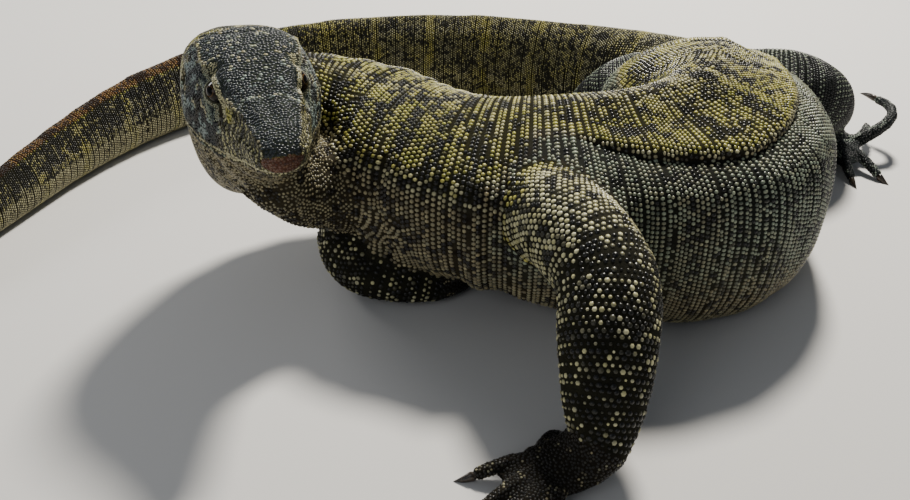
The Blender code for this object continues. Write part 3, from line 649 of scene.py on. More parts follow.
# %% Crown, mouth, nostrils and ears
OFF_FLOOR = 0.0004  # the soles' skin stays this far over the floor
on_head = on_skin.of("head", "lower_jaw", "throat", "neck_front")
back, side, up = head_coordinates(skin_places)
inside, above = crown_edge(skin_places), above_mouth(skin_places)
before_neck = on_head * ramp(back, 0.140, 0.128)
push = 0.0016 * hump(inside, 0.0005, 0.0014)  # canthal ridge, with a hollow under it before the eye
push -= 0.0019 * hump(inside, -0.0042, 0.0026) * ramp(back, 0.074, 0.060)
push += 0.0014 * (soft_noise(skin_places, 0.0065, 21) - 0.5) * ramp(back, 0.066, 0.054) * (inside > 0)
push += 0.0011 * hump(np.abs(side), 0.0085, 0.0045) * hump(back, 0.036, 0.014) * (up > 0.004)
push -= 0.0012 * hump(side, 0.0, 0.0035) * hump(back, 0.045, 0.022) * (up > 0.004)
push -= 0.0013 * hump(back, 0.1185 + 1.2 * side**2 * 10, 0.0013) * ramp(up, 0.026, 0.032)  # nape's crease
push += 0.0020 * hump(back, 0.112, 0.016) * hump(up, -0.006, 0.013)  # jaw muscle
push -= 0.0021 * hump(above, 0.0, 0.0008)
push += 0.0008 * hump(above, 0.0026, 0.0018) + 0.0005 * hump(above, -0.0026, 0.0018)
skin_places = skin_places + corner_normals(melted) * (push * before_neck)[:, None]
hole, ear = oval_distance(skin_places, *NOSTRIL), oval_distance(skin_places, *EAR)
push = -0.0026 * np.exp(-(hole**4)) + 0.0009 * hump(hole, 1.45, 0.35)
push += -0.0036 * np.exp(-(ear**4)) + 0.0008 * hump(ear, 1.35, 0.30)
skin_places = press_lids(skin_places + corner_normals(melted) * (push * on_head)[:, None])
skin_places[:, 2] = np.maximum(skin_places[:, 2], OFF_FLOOR)
melted.vertices.foreach_set("co", skin_places.ravel())
melted.update()
print("corners in the nostrils:", int((hole < 1).sum()), "and in the ears:", int((ear < 1).sum()))

# %% [markdown]
# ## Where every scale stands
# A monitor's scales are small beads in rings round the body, each ring set half a step from the
# last. Rays sent out from the body's line find the skin all round each ring, and beads are set at
# even steps along it. Where a bend crowds the rings, a bead too near its neighbours is left out. A
# last scatter fills the bare spots, and all of the head, hands and feet, which have no rings.

# %% Scale sizes over the body
PITCH = (("snout_tip", 0.0020), ("occiput", 0.0028), ("nape", 0.0034), ("neck_middle", 0.0040),
         ("withers", 0.0040), ("chest", 0.0035), ("vent", 0.0034), ("tail_root", 0.0028),
         ("tail_b", 0.0025), ("tail_d", 0.0026), ("tail_f", 0.0029), ("tail_tip", 0.0018))
FORE_PITCH, HIND_PITCH, FOOT_PITCH = 0.0045, 0.0025, 0.0022
LID_PITCH, HEAD_PITCH = 0.00135, 0.0019
PITCH_AT, PITCH_WIDE = [body.at(name) for name, _ in PITCH], [wide for _, wide in PITCH]


def scale_pitch(place, at):
    """The distance between neighbouring scales at each place."""
    pitch = np.interp(at.distance, PITCH_AT, PITCH_WIDE)
    outside, _, _ = beyond_lid(place)
    crown = ramp(crown_edge(place), -0.001, 0.001)
    on_head = HEAD_PITCH + 0.0003 * crown + 0.0002 * ramp(at.distance, 0.02, 0.12)
    pitch = np.where(at.head, np.where(outside < 0.006, LID_PITCH, on_head), pitch)
    pitch = np.where(at.of("fore"), FORE_PITCH, pitch)
    pitch = np.where(at.of("hind"), HIND_PITCH, pitch)
    return np.where(at.feet, FOOT_PITCH, pitch)


class Spacing:
    """Remembers where scales stand, so that no two are set too close."""

    CELL = 0.004
    ROUND = tuple(itertools.product((-1, 0, 1), repeat=3))

    def __init__(self):
        self.kept = {}

    def fits(self, x, y, z, gap):
        i, j, k = int(x // self.CELL), int(y // self.CELL), int(z // self.CELL)
        least = gap * gap
        for a, b, c in self.ROUND:
            for px, py, pz in self.kept.get((i + a, j + b, k + c), ()):
                if (px - x) ** 2 + (py - y) ** 2 + (pz - z) ** 2 < least:
                    return False
        self.kept.setdefault((i, j, k), []).append((x, y, z))
        return True


print("scales are %.1f mm apart on the lids and %.1f on the forelegs" % (1000 * LID_PITCH, 1000 * FORE_PITCH))


# %% Rings of scales
RAYS = 80
BEND_SPAN = 20  # samples before and behind a ring that tell how hard the line bends
ROW_STEP = 0.92  # rows nest a little, so they are nearer than the scales in a row
skin_faces = [tuple(face.vertices) for face in melted.polygons]
skin_tree = BVHTree.FromPolygons([Vector(place) for place in skin_places], skin_faces)
skin_normals = corner_normals(melted)
first_corner = np.array([face[0] for face in skin_faces])
third_corner = np.array([face[2] for face in skin_faces])
face_owner = skin_owner[first_corner]


def ring(line, k, reach):
    """The skin's places all round one section of a line, starting below it, and their angles."""
    middle, left, rise = line.middle[k], line.left[k], line.rise[k]
    start = Vector(middle)
    found, angles = [], []
    for ray in range(RAYS):
        angle = -math.pi + 2 * math.pi * ray / RAYS
        direction = Vector(left * math.sin(angle) + rise * math.cos(angle))
        hit = skin_tree.ray_cast(start, direction, reach)[0]
        found.append(np.array(hit) if hit else middle + np.array(direction) * reach)
        angles.append(angle)
    found.append(found[0])
    angles.append(math.pi)
    return np.array(found), np.array(angles)


def ring_scales(line, start, end, pitch_for, reach):
    """Even steps round rings that follow each other along a line."""
    rows, distance, number = [], start, 0
    while distance < end:
        k = int(line.sample(distance))
        places, angles = ring(line, k, reach)
        walked = np.concatenate([[0], np.cumsum(lengths(np.diff(places, axis=0)))])
        pitch = pitch_for(distance)
        top = np.interp(0.0, angles, walked)
        columns = np.arange(-int(top / pitch), int((walked[-1] - top) / pitch) + 1)
        wanted = top + (columns + (0.5 if number % 2 else 0.0)) * pitch
        wanted = wanted[(wanted > 0) & (wanted < walked[-1])]
        columns = columns[: len(wanted)]
        spots = np.stack([np.interp(wanted, walked, places[:, axis]) for axis in range(3)], axis=1)
        rows.append(np.column_stack([spots, np.full(len(spots), number), columns]))
        ahead, behind = min(k + BEND_SPAN, len(line.where) - 1), max(k - BEND_SPAN, 0)
        turn = math.acos(np.clip(line.along[ahead] @ line.along[behind], -1, 1))
        turn /= (ahead - behind) * LINE_STEP
        half = lengths(places - line.middle[k]).mean()
        distance += pitch * ROW_STEP / (1 + min(turn * half, 1.2))  # the outside of a bend has room
        number += 1
    return np.concatenate(rows)


def snap(spots):
    """The nearest skin, its smooth normal and its face, for each spot."""
    places, faces, far = np.empty((len(spots), 3)), np.empty(len(spots), dtype=int), np.empty(len(spots))
    for i, spot in enumerate(spots):
        hit, _, face, gap = skin_tree.find_nearest(Vector(spot))
        places[i], faces[i], far[i] = hit, face, gap
    a, b = first_corner[faces], third_corner[faces]
    near_a, near_b = (1 / (lengths(places - skin_places[corner])[:, None] + 1e-5) for corner in (a, b))
    return places, unit(skin_normals[a] * near_a + skin_normals[b] * near_b), faces, far


def body_pitch(distance):
    return float(np.interp(distance, PITCH_AT, PITCH_WIDE))


ROW_END = 0.004  # the first and last rows stand this far from a line's ends
first, last = body.at("occiput") - 0.03, body.knots[-1] - ROW_END
candidates = {"body": ring_scales(body, first, last, body_pitch, reach=0.16)}
for leg in LEG_PLACES:
    pitch = FORE_PITCH if "fore" in leg else HIND_PITCH
    last = lines[leg].at("palm")
    candidates[leg] = ring_scales(lines[leg], ROW_END, last, lambda distance: pitch, reach=0.06)
print("ring candidates:", {name: len(rows) for name, rows in candidates.items()})

# %% Keep the scales that fit, and fill the bare spots
random_numbers = np.random.default_rng(7)
spacing = Spacing()
RING_GAP, FILL_GAP = 0.80, 0.86  # the least gap, as a share of the scales' pitch
kept_rows = []
for line_name, rows in candidates.items():
    places, _, faces, far = snap(rows[:, :3])
    at = Where(places, face_owner[faces])
    pitches = scale_pitch(places, at)
    good = belongs(at.owner, lambda name: SPANS[name][0] == line_name) & (far < 0.002)
    for i in np.nonzero(good & ~at.feet & ~at.head)[0]:
        x, y, z = places[i]
        if spacing.fits(x, y, z, pitches[i] * RING_GAP):
            kept_rows.append((x, y, z, rows[i, 3], rows[i, 4]))
print("scales in rings:", len(kept_rows))

FILL_TRIES = 420000
areas = np.array([face.area for face in melted.polygons])
face_middle = skin_places[first_corner]
face_at = Where(face_middle, face_owner)
wanted = areas / scale_pitch(face_middle, face_at) ** 2
wanted *= np.where(face_at.head | face_at.feet, 9.0, 1.0)  # no rings there
faces = random_numbers.choice(len(areas), FILL_TRIES, p=wanted / wanted.sum())
corners = np.array([[f[0], f[1], f[2], f[-1]] for f in skin_faces])[faces]
u, v = random_numbers.random((2, FILL_TRIES, 1))
quad = skin_places[corners]
tries = (quad[:, 0] * (1 - u) + quad[:, 1] * u) * (1 - v) + (quad[:, 3] * (1 - u) + quad[:, 2] * u) * v
try_at = Where(tries, face_owner[faces])
try_pitch = scale_pitch(tries, try_at)
outside, _, _ = beyond_lid(tries)
bare = (outside < 0.0006) | (oval_distance(tries, *NOSTRIL) < 1.1) | (oval_distance(tries, *EAR) < 1.0)
bare &= try_at.head
for place, pitch in zip(tries[~bare], try_pitch[~bare]):
    if spacing.fits(*place, pitch * FILL_GAP):
        kept_rows.append((*place, -1, 0))
roots = np.array(kept_rows)
root_place, root_normal, root_face, _ = snap(roots[:, :3])
at_root = Where(root_place, face_owner[root_face])
root_pitch = scale_pitch(root_place, at_root)
print("scales in all:", len(roots))

# %% [markdown]
# ## Markings
# Each bead has one colour and a darker rim: the pattern comes from which beads are light and which
# are dark. So the markings are worked out once as two numbers, how light and which hue, from the
# distance along the line, the angle round it and soft noise. The skin between the beads asks the
# same function, and is told to be dark.

# %% Hues, and marks of the trunk and neck
SLATE, BLUE, GREY, BEIGE, CREAM = 0.0, 0.12, 0.24, 0.36, 0.48  # hues, as places on two ramps
YELLOW, OLIVE, ORANGE, RUST = 0.62, 0.76, 0.88, 1.0
BACK_BANDS = 0.026  # faint bands across the back stand this far apart


def mix(a, b, share):
    return a * (1 - share) + b * share


def body_marks(place, at):
    """Yellow-olive clusters above, small grey dots on the flank, beige below with dark flecks."""
    d, angle = at.distance, np.abs(at.angle)
    fine, blots, wide = soft_noise(place, 0.0055, 2), soft_noise(place, 0.014, 1), soft_noise(place, 0.05, 4)
    rear = ramp(d + 0.03 * (blots - 0.5), body.at("withers"), body.at("shoulders"))  # 0 on the neck
    past = np.where(at.angle > 0, past_fold(at), angle - math.radians(62))
    past = mix(angle - 1.35, past, rear)
    bands = np.sin((d + 0.018 * wide) / BACK_BANDS * 2 * math.pi)
    light = 0.50 + 0.65 * (fine - 0.5) + 0.50 * (blots - 0.5)
    light += 0.40 * hump(past, -0.05, 0.07) * rear + 0.10 * bands
    hue = OLIVE - 0.08 - 0.14 * (wide - 0.3) - 0.12 * hump(angle, 0.0, 0.30)
    below = ramp(past, -0.05, 0.06 + 0.20 * (1 - rear))
    flecks = ramp(spot_distance(place, 0.0095, 9), 0.0034, 0.0026)
    throat = 0.68 + 0.5 * (fine - 0.5) - 0.95 * flecks
    flank = 0.66 + 0.45 * (fine - 0.5) + 0.40 * (blots - 0.5)
    light = mix(light, mix(throat, flank, rear), below)
    hue = mix(hue, mix(BEIGE, GREY + 0.06 * wide, rear), below)
    belly = ramp(angle, 1.75, 2.25) * rear
    return mix(light, 0.74 + 0.7 * (fine - 0.5), belly), mix(hue, BEIGE + 0.04, belly)


print("hues run from slate,", SLATE, "to rust,", RUST)


# %% Marks of the tail and legs
BAND_EVERY = 0.062


def tail_marks(place, at):
    """Small dull dots with narrow yellow bands; orange blocks along the far part's left side."""
    d, angle = at.distance, at.angle
    fine, coarse = soft_noise(place, 0.0050, 2), soft_noise(place, 0.018, 4)
    step = (d - body.at("vent") + 0.012 * coarse) / BAND_EVERY
    band = ramp(np.abs(step % 1 - 0.5) + 0.06 * (fine - 0.5), 0.38, 0.46)
    far = ramp(d, body.at("tail_d"), body.at("tail_f"))
    light = 0.55 + 0.55 * (fine - 0.5) + 0.22 * band
    light -= far * (0.06 + 0.22 * ramp(np.abs(angle), 1.15, 0.8))
    hue = CREAM + 0.05 + 0.06 * band + 0.12 * (coarse - 0.5)
    edge = ramp(angle, -0.34, -0.24) * ramp(angle, 1.7, 1.4) * far
    blocks = ramp(np.abs(step % 1 - 0.5) + 0.10 * (fine - 0.5), 0.10, 0.20)
    light = mix(light, 0.24 + 0.36 * blocks + 0.6 * (fine - 0.5), edge)
    hue = mix(hue, ORANGE, edge)
    low = ramp(np.abs(angle) + 0.2 * (fine - 0.5), 1.45, 1.65) * far
    return mix(light, 0.80 + 0.3 * (fine - 0.5), low), mix(hue, CREAM - 0.03 + 0.08 * band, low)


TOWARDS_HEAD = unit(np.array([-0.95, -0.30, 0.0]))


def leg_front(at):
    """1 on the side of a leg that is towards the head, -1 behind it."""
    facing = np.zeros(len(at.angle))
    for leg in LEG_PLACES:
        mine = at.of(leg)
        k, angle = lines[leg].sample(at.distance[mine]), at.angle[mine][:, None]
        out = lines[leg].left[k] * np.sin(angle) + lines[leg].rise[k] * np.cos(angle)
        facing[mine] = out @ TOWARDS_HEAD
    return facing


def leg_marks(place, at, row, column):
    """Cream dots and rosettes on black forelegs, an even lattice of grey dots on the hind legs.

    The skin between the scales has no row, and so no lattice.
    """
    fine, coarse = soft_noise(place, 0.0050, 2), soft_noise(place, 0.016, 5)
    rosette = ramp(np.abs(spot_distance(place, 0.017, 6) - 0.0036), 0.0016, 0.0008)
    down = ramp(at.distance + 0.02 * (coarse - 0.5), 0.105, 0.145)
    down *= ramp(leg_front(at) + 0.3 * (coarse - 0.5), 0.95, 0.70)
    top = ramp(at.distance + 0.03 * (coarse - 0.5), 0.075, 0.045)  # the shoulder, marked like the neck
    light = 0.59 + 0.9 * (fine - 0.5) + 0.3 * (coarse - 0.5) - 0.25 * down * (1 - 0.6 * rosette)
    hue = CREAM + 0.02 + 0.18 * top
    fore, hind = at.of("fore"), at.of("hind")
    lattice = 0.0
    if row is not None:
        lattice = 1.0 * (((row % 4 == 0) & (column % 2 == 0)) | ((row % 4 == 2) & (column % 2 == 1)))
    light = np.where(hind & ~at.feet, 0.05 + 0.95 * lattice, light)
    hue = np.where(hind, GREY, hue)
    bars = ramp(soft_noise(place, 0.006, 12), 0.58, 0.66)
    light = np.where(at.feet, 0.10 + 0.42 * bars * hind + 0.34 * bars * fore, light)
    return light, np.where(at.feet, GREY - 0.06 + 0.16 * fore, hue)


print("yellow bands every", BAND_EVERY, "m along the tail")


# %% Marks of the head
CHEEK_BARS, MUZZLE_BARS = 0.0078, 0.0050  # how far apart the dark bars stand
GOLD_SPOT = ((0.0570, 0.0265, 0.0110), NOSTRIL[1], 0.0075, 0.0036)  # behind each nostril


def head_marks(place, at, chance):
    """Slate crown with pale dots, mottled blue-grey cheeks, cream lids and lips, barred muzzle."""
    back, side, up = head_coordinates(place)
    fine, blots = soft_noise(place, 0.0032, 8), soft_noise(place, 0.0060, 10)
    inside, above = crown_edge(place), above_mouth(place)
    # The cheek, and the bars behind it.
    light = 0.02 + 0.86 * ramp(0.8 * blots + 0.9 * (fine - 0.5), 0.34, 0.54)
    hue = BLUE + 0.30 * ramp(soft_noise(place, 0.005, 15), 0.5, 0.8)
    bars = 0.5 + 0.5 * np.sin((back + 0.5 * up + 0.005 * blots) / CHEEK_BARS * 2 * math.pi)
    light = mix(light, light * 0.3 + 0.75 * bars, 0.45 * ramp(back, 0.100, 0.110))
    muzzle = ramp(back + 0.010 * (blots - 0.5), 0.070, 0.058)
    bars = 0.5 + 0.5 * np.sin((back + 0.004 * blots) / MUZZLE_BARS * 2 * math.pi)
    light = mix(light, 0.02 + 0.60 * bars + 0.5 * (fine - 0.5), muzzle)
    hue = mix(hue, CREAM + 0.04, muzzle)
    # The jaw, pale with dark flecks.
    below = ramp(up + 0.010 * (blots - 0.5), -0.022, -0.030)
    flecks = ramp(spot_distance(place, 0.0075, 9), 0.0026, 0.0019)
    creases = 0.5 * hump(above, -0.0062, 0.0008) + 0.4 * hump(above, -0.0098, 0.0008)
    jaw_light = 0.60 + 0.7 * (fine - 0.5) - 0.9 * flecks + creases
    jaw = np.maximum(ramp(above, -0.0020, -0.0034), below)
    light, hue = mix(light, jaw_light, jaw), mix(hue, BEIGE, jaw)
    # The crown, its pale dots and arcs, and the ridge round it.
    crown = ramp(inside, -0.0008, 0.0006)
    dots = ramp(chance + 0.25 * (fine - 0.5), 0.88, 0.93) * ramp(back, 0.05, 0.09)
    arcs = hump(back, 0.0535 - 22 * (np.abs(side) - 0.0105) ** 2, 0.0011) * (np.abs(side) > 0.0022)
    light = mix(light, 0.08 + 0.35 * (chance - 0.5) + 0.85 * dots + 0.8 * arcs, crown)
    hue = mix(hue, 0.02 + 0.30 * np.clip(dots + arcs, 0, 1), crown)
    ridge = hump(inside, 0.0, 0.0011) * ramp(back, 0.052, 0.064)
    light, hue = mix(light, 0.72, ridge), mix(hue, YELLOW - 0.03, ridge)
    nape = ramp(back + 0.012 * (blots - 0.5), 0.122, 0.134)
    body_light, body_hue = body_marks(place, at)
    light, hue = mix(light, body_light, nape), mix(hue, body_hue, nape)
    # The lids, the gold spot, the lips and the rust plate.
    outside, over, _ = beyond_lid(place)
    lid = np.clip(ramp(outside, 0.0040, 0.0030) + 0.8 * hump(outside, 0.0060, 0.0008) * (1 - over), 0, 1)
    near = outside < np.where(over > 0.5, 0.0050, 0.0075)
    light = np.where(near, mix(0.10 + 0.3 * fine, 0.86, lid), light)
    hue = np.where(near, mix(BLUE, mix(GREY + 0.05, CREAM, over), lid), hue)
    gold = ramp(oval_distance(place, *GOLD_SPOT), 1.2, 0.7)
    light, hue = mix(light, 0.85, gold), mix(hue, YELLOW + 0.04, gold)
    lips = ramp(np.abs(above - 0.0008), 0.0027, 0.0017) * ramp(back, 0.002, 0.010)
    light, hue = mix(light, 1.0, lips), mix(hue, CREAM - 0.03, lips)
    plate = rostrum_share(place)
    rust = 0.74 + 0.6 * (fine - 0.5) - 0.6 * hump(up, -0.0010, 0.0008)
    light = mix(light, rust, plate) * (1 - 0.8 * hump(plate, 0.5, 0.25))
    return light, np.where(plate > 0.5, RUST, hue)


print("dark bars every", MUZZLE_BARS, "m along the muzzle")


# %% Light and hue of every place
def markings(place, at, row=None, column=None, chance=None):
    """How light each place is, 0 to 1, and its hue; the skin between the beads has no row."""
    bead = row is not None
    chance = chance if bead else np.full(len(place), 0.5)
    trunk, tail, head = at.of("trunk", "neck", "throat"), at.of("tail"), at.head
    light, hue = leg_marks(place, at, row, column)
    for mine, (its_light, its_hue) in (
        (trunk, body_marks(place, at)), (tail, tail_marks(place, at)), (head, head_marks(place, at, chance)),
    ):
        light, hue = np.where(mine, its_light, light), np.where(mine, its_hue, hue)
    if bead:  # most beads are either light or dark
        sharp = np.where(head, 9.0, 22.0)
        loose = np.where(head, 0.25, np.where(at.of("hind"), 0.1, 0.62))
        light = 1 / (1 + np.exp(-sharp * (light - 0.5 + loose * (chance - 0.5))))
        hue = hue + np.where(trunk & (hue > CREAM), 0.20, 0.07) * (np.modf(chance * 7.3)[0] - 0.5)
        light *= np.where(head, 1.0, 0.62 + 0.38 * np.modf(chance * 13.7)[0])
        light *= np.where(tail & (hue < YELLOW - 0.06) & (np.abs(at.angle) < 1.6), 0.66, 1.0)
    else:
        under = trunk * ramp(np.abs(at.angle), 1.3, 2.0)
        crown = head * ramp(crown_edge(place), -0.0008, 0.0006)
        light = np.where(head, 0.25 * light, 0.01 + 0.02 * light + 0.07 * under * light)
        light, hue = mix(light, 0.10, crown), mix(hue, GREY, crown)
        plate = head * rostrum_share(place)
        light, hue = mix(light, 0.6, ramp(plate, 0.5, 0.9)), np.where(plate > 0.5, RUST, hue)
        # The skin inside each nostril is painted black: painted shade, standing in for the dark of a deep
        # hole.
        light = np.where(head & (oval_distance(place, *NOSTRIL) < 1), 0.0, light)
    return np.clip(light, 0, 1), np.clip(hue, 0, 1)


chances = random_numbers.random(len(roots))
root_light, root_hue = markings(root_place, at_root, roots[:, 3], roots[:, 4], chances)
skin_light, skin_hue = markings(skin_places, Where(skin_places, skin_owner))
print("light scales: %.0f%%" % (100 * (root_light > 0.5).mean()))

# %% [markdown]
# ## The hide's finish
# Skin and scales share one shader group, so that they match. It turns light and hue into a
# colour through two ramps, a bright one and a dark one, breaks it up with fine noise, and gives
# the roughness and the height for a bump. The Principled shader itself stays in each material.

# %% Helpers for shader nodes, and the hide's two ramps
BRIGHT = ((SLATE, (0.044, 0.070, 0.072)), (BLUE, (0.25, 0.31, 0.29)), (GREY, (0.30, 0.35, 0.25)),
          (BEIGE, (0.31, 0.26, 0.14)), (CREAM, (0.60, 0.57, 0.34)), (YELLOW, (0.50, 0.45, 0.11)),
          (OLIVE, (0.33, 0.33, 0.05)), (ORANGE, (0.30, 0.155, 0.045)), (RUST, (0.13, 0.062, 0.042)))
DARK = ((SLATE, (0.012, 0.016, 0.019)), (GREY, (0.005, 0.006, 0.006)), (BEIGE, (0.010, 0.008, 0.006)),
        (CREAM, (0.005, 0.005, 0.004)), (OLIVE, (0.005, 0.005, 0.003)), (ORANGE, (0.012, 0.006, 0.003)),
        (RUST, (0.050, 0.020, 0.013)))


def set_values(node, **values):
    """Sets a node's sockets, named with _ for each space."""
    for word, value in values.items():
        node.inputs[word.replace("_", " ")].default_value = value
    return node


def add_node(tree, kind, **values):
    return set_values(tree.nodes.new(f"ShaderNode{kind}"), **values)


def wire(tree, *joins):
    """Joins a node's output to another's input, for each (node, output, node, input)."""
    for start, output, end, socket in joins:
        tree.links.new(start.outputs[output], end.inputs[socket])


def add_ramp(tree, stops):
    made = tree.nodes.new("ShaderNodeValToRGB")
    elements = made.color_ramp.elements
    while len(elements) < len(stops):
        elements.new(0.5)
    for element, (position, colour) in zip(elements, stops):
        element.position = position
        element.color = (*colour, 1.0)
    return made


print("the bright ramp has", len(BRIGHT), "colours and the dark one", len(DARK))


# %% The hide's shader group
def hide_group():
    """Light and hue in; colour, roughness and height out."""
    tree = bpy.data.node_groups.new("hide colours", "ShaderNodeTree")
    for name, low, high, value in (
        ("Light", 0, 1, 0.5), ("Hue", 0, 1, 0.5), ("Grain", 10, 2000, 400),
        ("Mottle", 0, 1, 0.25), ("Smoothest", 0, 1, 0.24), ("Roughest", 0, 1, 0.42),
    ):
        socket = tree.interface.new_socket(name, in_out="INPUT", socket_type="NodeSocketFloat")
        socket.min_value, socket.max_value, socket.default_value = low, high, value
    for name, kind in (("Colour", "Color"), ("Roughness", "Float"), ("Height", "Float")):
        tree.interface.new_socket(name, in_out="OUTPUT", socket_type=f"NodeSocket{kind}")
    inside, outside = tree.nodes.new("NodeGroupInput"), tree.nodes.new("NodeGroupOutput")
    where, grain = add_node(tree, "TexCoord"), add_node(tree, "TexNoise", Detail=3)
    bright, dark = add_ramp(tree, BRIGHT), add_ramp(tree, DARK)
    blend = add_node(tree, "Mix")
    blend.data_type = "RGBA"
    centred, rough = add_node(tree, "MapRange", From_Min=0.3, From_Max=0.7), add_node(tree, "MapRange")
    low, high, shade = add_node(tree, "Math"), add_node(tree, "Math"), add_node(tree, "VectorMath")
    low.operation, high.operation, shade.operation = "SUBTRACT", "ADD", "SCALE"
    low.inputs[0].default_value, high.inputs[0].default_value = 1.0, 1.0
    wire(
        tree, (where, "Object", grain, "Vector"), (inside, "Grain", grain, "Scale"),
        (inside, "Hue", bright, "Fac"), (inside, "Hue", dark, "Fac"), (inside, "Light", blend, "Factor"),
        (dark, "Color", blend, "A"), (bright, "Color", blend, "B"), (grain, "Fac", centred, "Value"),
        (inside, "Mottle", low, 1), (inside, "Mottle", high, 1), (low, 0, centred, "To Min"),
        (high, 0, centred, "To Max"), (blend, "Result", shade, 0), (centred, "Result", shade, "Scale"),
        (inside, "Smoothest", rough, "To Min"), (inside, "Roughest", rough, "To Max"),
        (grain, "Fac", rough, "Value"), (shade, "Vector", outside, "Colour"),
        (rough, "Result", outside, "Roughness"), (grain, "Fac", outside, "Height"),
    )
    return tree


HIDE = hide_group()
print(HIDE.name, "has", len(HIDE.nodes), "nodes")


# %% The skin's and the scales' materials
def new_material(name):
    made = bpy.data.materials.new(name)
    made.use_nodes = True
    return made, made.node_tree, made.node_tree.nodes["Principled BSDF"]


def hide_material(name, grain, mottle, gloss, shine, bump_strength, bump_depth):
    made, tree, shader = new_material(name)
    hide = tree.nodes.new("ShaderNodeGroup")
    hide.node_tree = HIDE
    set_values(hide, Grain=grain, Mottle=mottle, Smoothest=gloss[0], Roughest=gloss[1])
    for word in ("light", "hue"):
        reading = add_node(tree, "Attribute")
        reading.attribute_name = word
        wire(tree, (reading, "Fac", hide, word.title()))
    bump = add_node(tree, "Bump", Strength=bump_strength, Distance=bump_depth)
    wire(
        tree, (hide, "Colour", shader, "Base Color"), (hide, "Roughness", shader, "Roughness"),
        (hide, "Height", bump, "Height"), (bump, "Normal", shader, "Normal"),
    )
    set_values(shader, Specular_IOR_Level=shine)
    return made


scale_finish = hide_material(
    "scaled hide", grain=350, mottle=0.22, gloss=(0.22, 0.38), shine=0.36,
    bump_strength=0.25, bump_depth=0.0004,
)
skin_finish = hide_material(
    "bare hide", grain=900, mottle=0.30, gloss=(0.80, 0.95), shine=0.05,
    bump_strength=0.6, bump_depth=0.0005,
)
print("finishes:", scale_finish.name, "and", skin_finish.name)

# %% Dress the skin
melted.materials.clear()
melted.materials.append(skin_finish)
melted.shade_smooth()


def give(mesh, word, values):
    layer = mesh.attributes.new(word, "FLOAT", "POINT")
    layer.data.foreach_set("value", np.asarray(values, dtype=np.float32))


give(melted, "light", skin_light)
give(melted, "hue", skin_hue)
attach(skin, "root")
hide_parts(*flesh_names)
print("the skin stands for", len(flesh_names), "solids")

# %% [markdown]
# ## Scales as solid beads
# Instances would be light, but a printed or exported model needs real faces. So one low bead, two
# rings of corners and a top, is laid out as an array, and every scale is that array turned,
# stretched and set on its root. Each part of the body gets its own mesh, to keep them easy to handle.

# %% One bead, many places
BEAD_SIDES = 6
PATCH = 0.003  # each scale's own square on the unwrap


def bead_template(*rings):
    """Corners of one bead, x along its lie, y across and z up, within 1; and its triangles."""
    corners, triangles = [], []
    for size, high in rings:
        for k in range(BEAD_SIDES):
            angle = 2 * math.pi * (k + 0.5) / BEAD_SIDES
            corners.append((size * math.cos(angle), size * math.sin(angle), high))
    corners.append((0.08, 0.0, 1.0))
    for k in range(BEAD_SIDES):
        j = (k + 1) % BEAD_SIDES
        triangles += [(k, j, BEAD_SIDES + j), (k, BEAD_SIDES + j, BEAD_SIDES + k)]
        triangles.append((BEAD_SIDES + k, BEAD_SIDES + j, 2 * BEAD_SIDES))
    return np.array(corners), np.array(triangles)


RIM = (1.0, -0.30)  # the lower ring is as wide as the bead, and sunk in the skin
BEAD_CORNERS, BEAD_TRIANGLES = bead_template(RIM, (0.58, 0.78))
SHAPES = {  # flatter ones
    "scales_head": bead_template(RIM, (0.84, 0.62))[0],
    "scales_forelegs": bead_template(RIM, (0.70, 0.74))[0],
}
print("each bead has", len(BEAD_TRIANGLES), "triangles")


# %% How each bead lies, how big it is and how dark its rim
def lie_of(at):
    """The tailward direction at each place, or towards the toes on a leg."""
    lie = np.zeros((len(at.distance), 3))
    for number, name in enumerate(flesh_names):
        mine = at.owner == number
        line = lines[SPANS[name][0]]
        lie[mine] = line.along[line.sample(at.distance[mine])]
    return lie


def bead_sizes(place, at, pitch):
    """Half length, half width and height of each bead."""
    crown, fore, tail = at.of("head") & (crown_edge(place) > 0), at.of("fore"), at.of("tail")
    belly = at.of("trunk", "neck", "throat") * ramp(np.abs(at.angle), 1.5, 2.0) > 0.5
    back = at.of("trunk") * ramp(np.abs(at.angle), 1.15, 0.95)
    fill = np.select([crown, at.head, fore, tail], [0.64, 0.55, 0.48, 0.45], 0.50)
    # The back's beads are wider than they are long.
    long = np.select([belly, crown, tail], [1.10, 0.80, 0.74], 1.0 - 0.22 * back)
    high = np.select([at.feet, fore, at.head], [0.22, 0.17, 0.20], 0.27)
    return pitch * fill * long, pitch * fill / long**0.5, pitch * high


def rim_marks(place, at, light, hue):
    """Beads darken to their rims, but on the crown the rims are paler than the beads."""
    crown = at.of("head") & (crown_edge(place) > 0.0008) & (head_coordinates(place)[0] < 0.120)
    rim_light = np.where(crown, 0.34, np.where(at.head, 0.35, 0.04) * light)
    return rim_light, np.where(crown, GREY - 0.04, hue)


root_lie = lie_of(at_root)
rim_light, rim_hue = rim_marks(root_place, at_root, root_light, root_hue)
root_long, root_wide, root_high = bead_sizes(root_place, at_root, root_pitch)
jitter = 1 + 0.20 * (random_numbers.random((2, len(roots))) - 0.5)
least = 0.84 - 0.36 * ramp(at_root.distance, 0.10, 0.15)  # dots of many sizes on the forearm
least += (1.04 - least) * np.modf(chances * 5.1)[0]
jitter *= np.where(at_root.of("fore") & ~at_root.feet, least, 1.0)
root_long, root_wide = root_long * jitter[0], root_wide * jitter[1]
print("beads are %.1f to %.1f mm long" % (2000 * root_long.min(), 2000 * root_long.max()))


# %% Longer beads where the rows are wide apart
AHEAD = 0.80  # a neighbour counts as ahead when this much of the way to it is along the lie


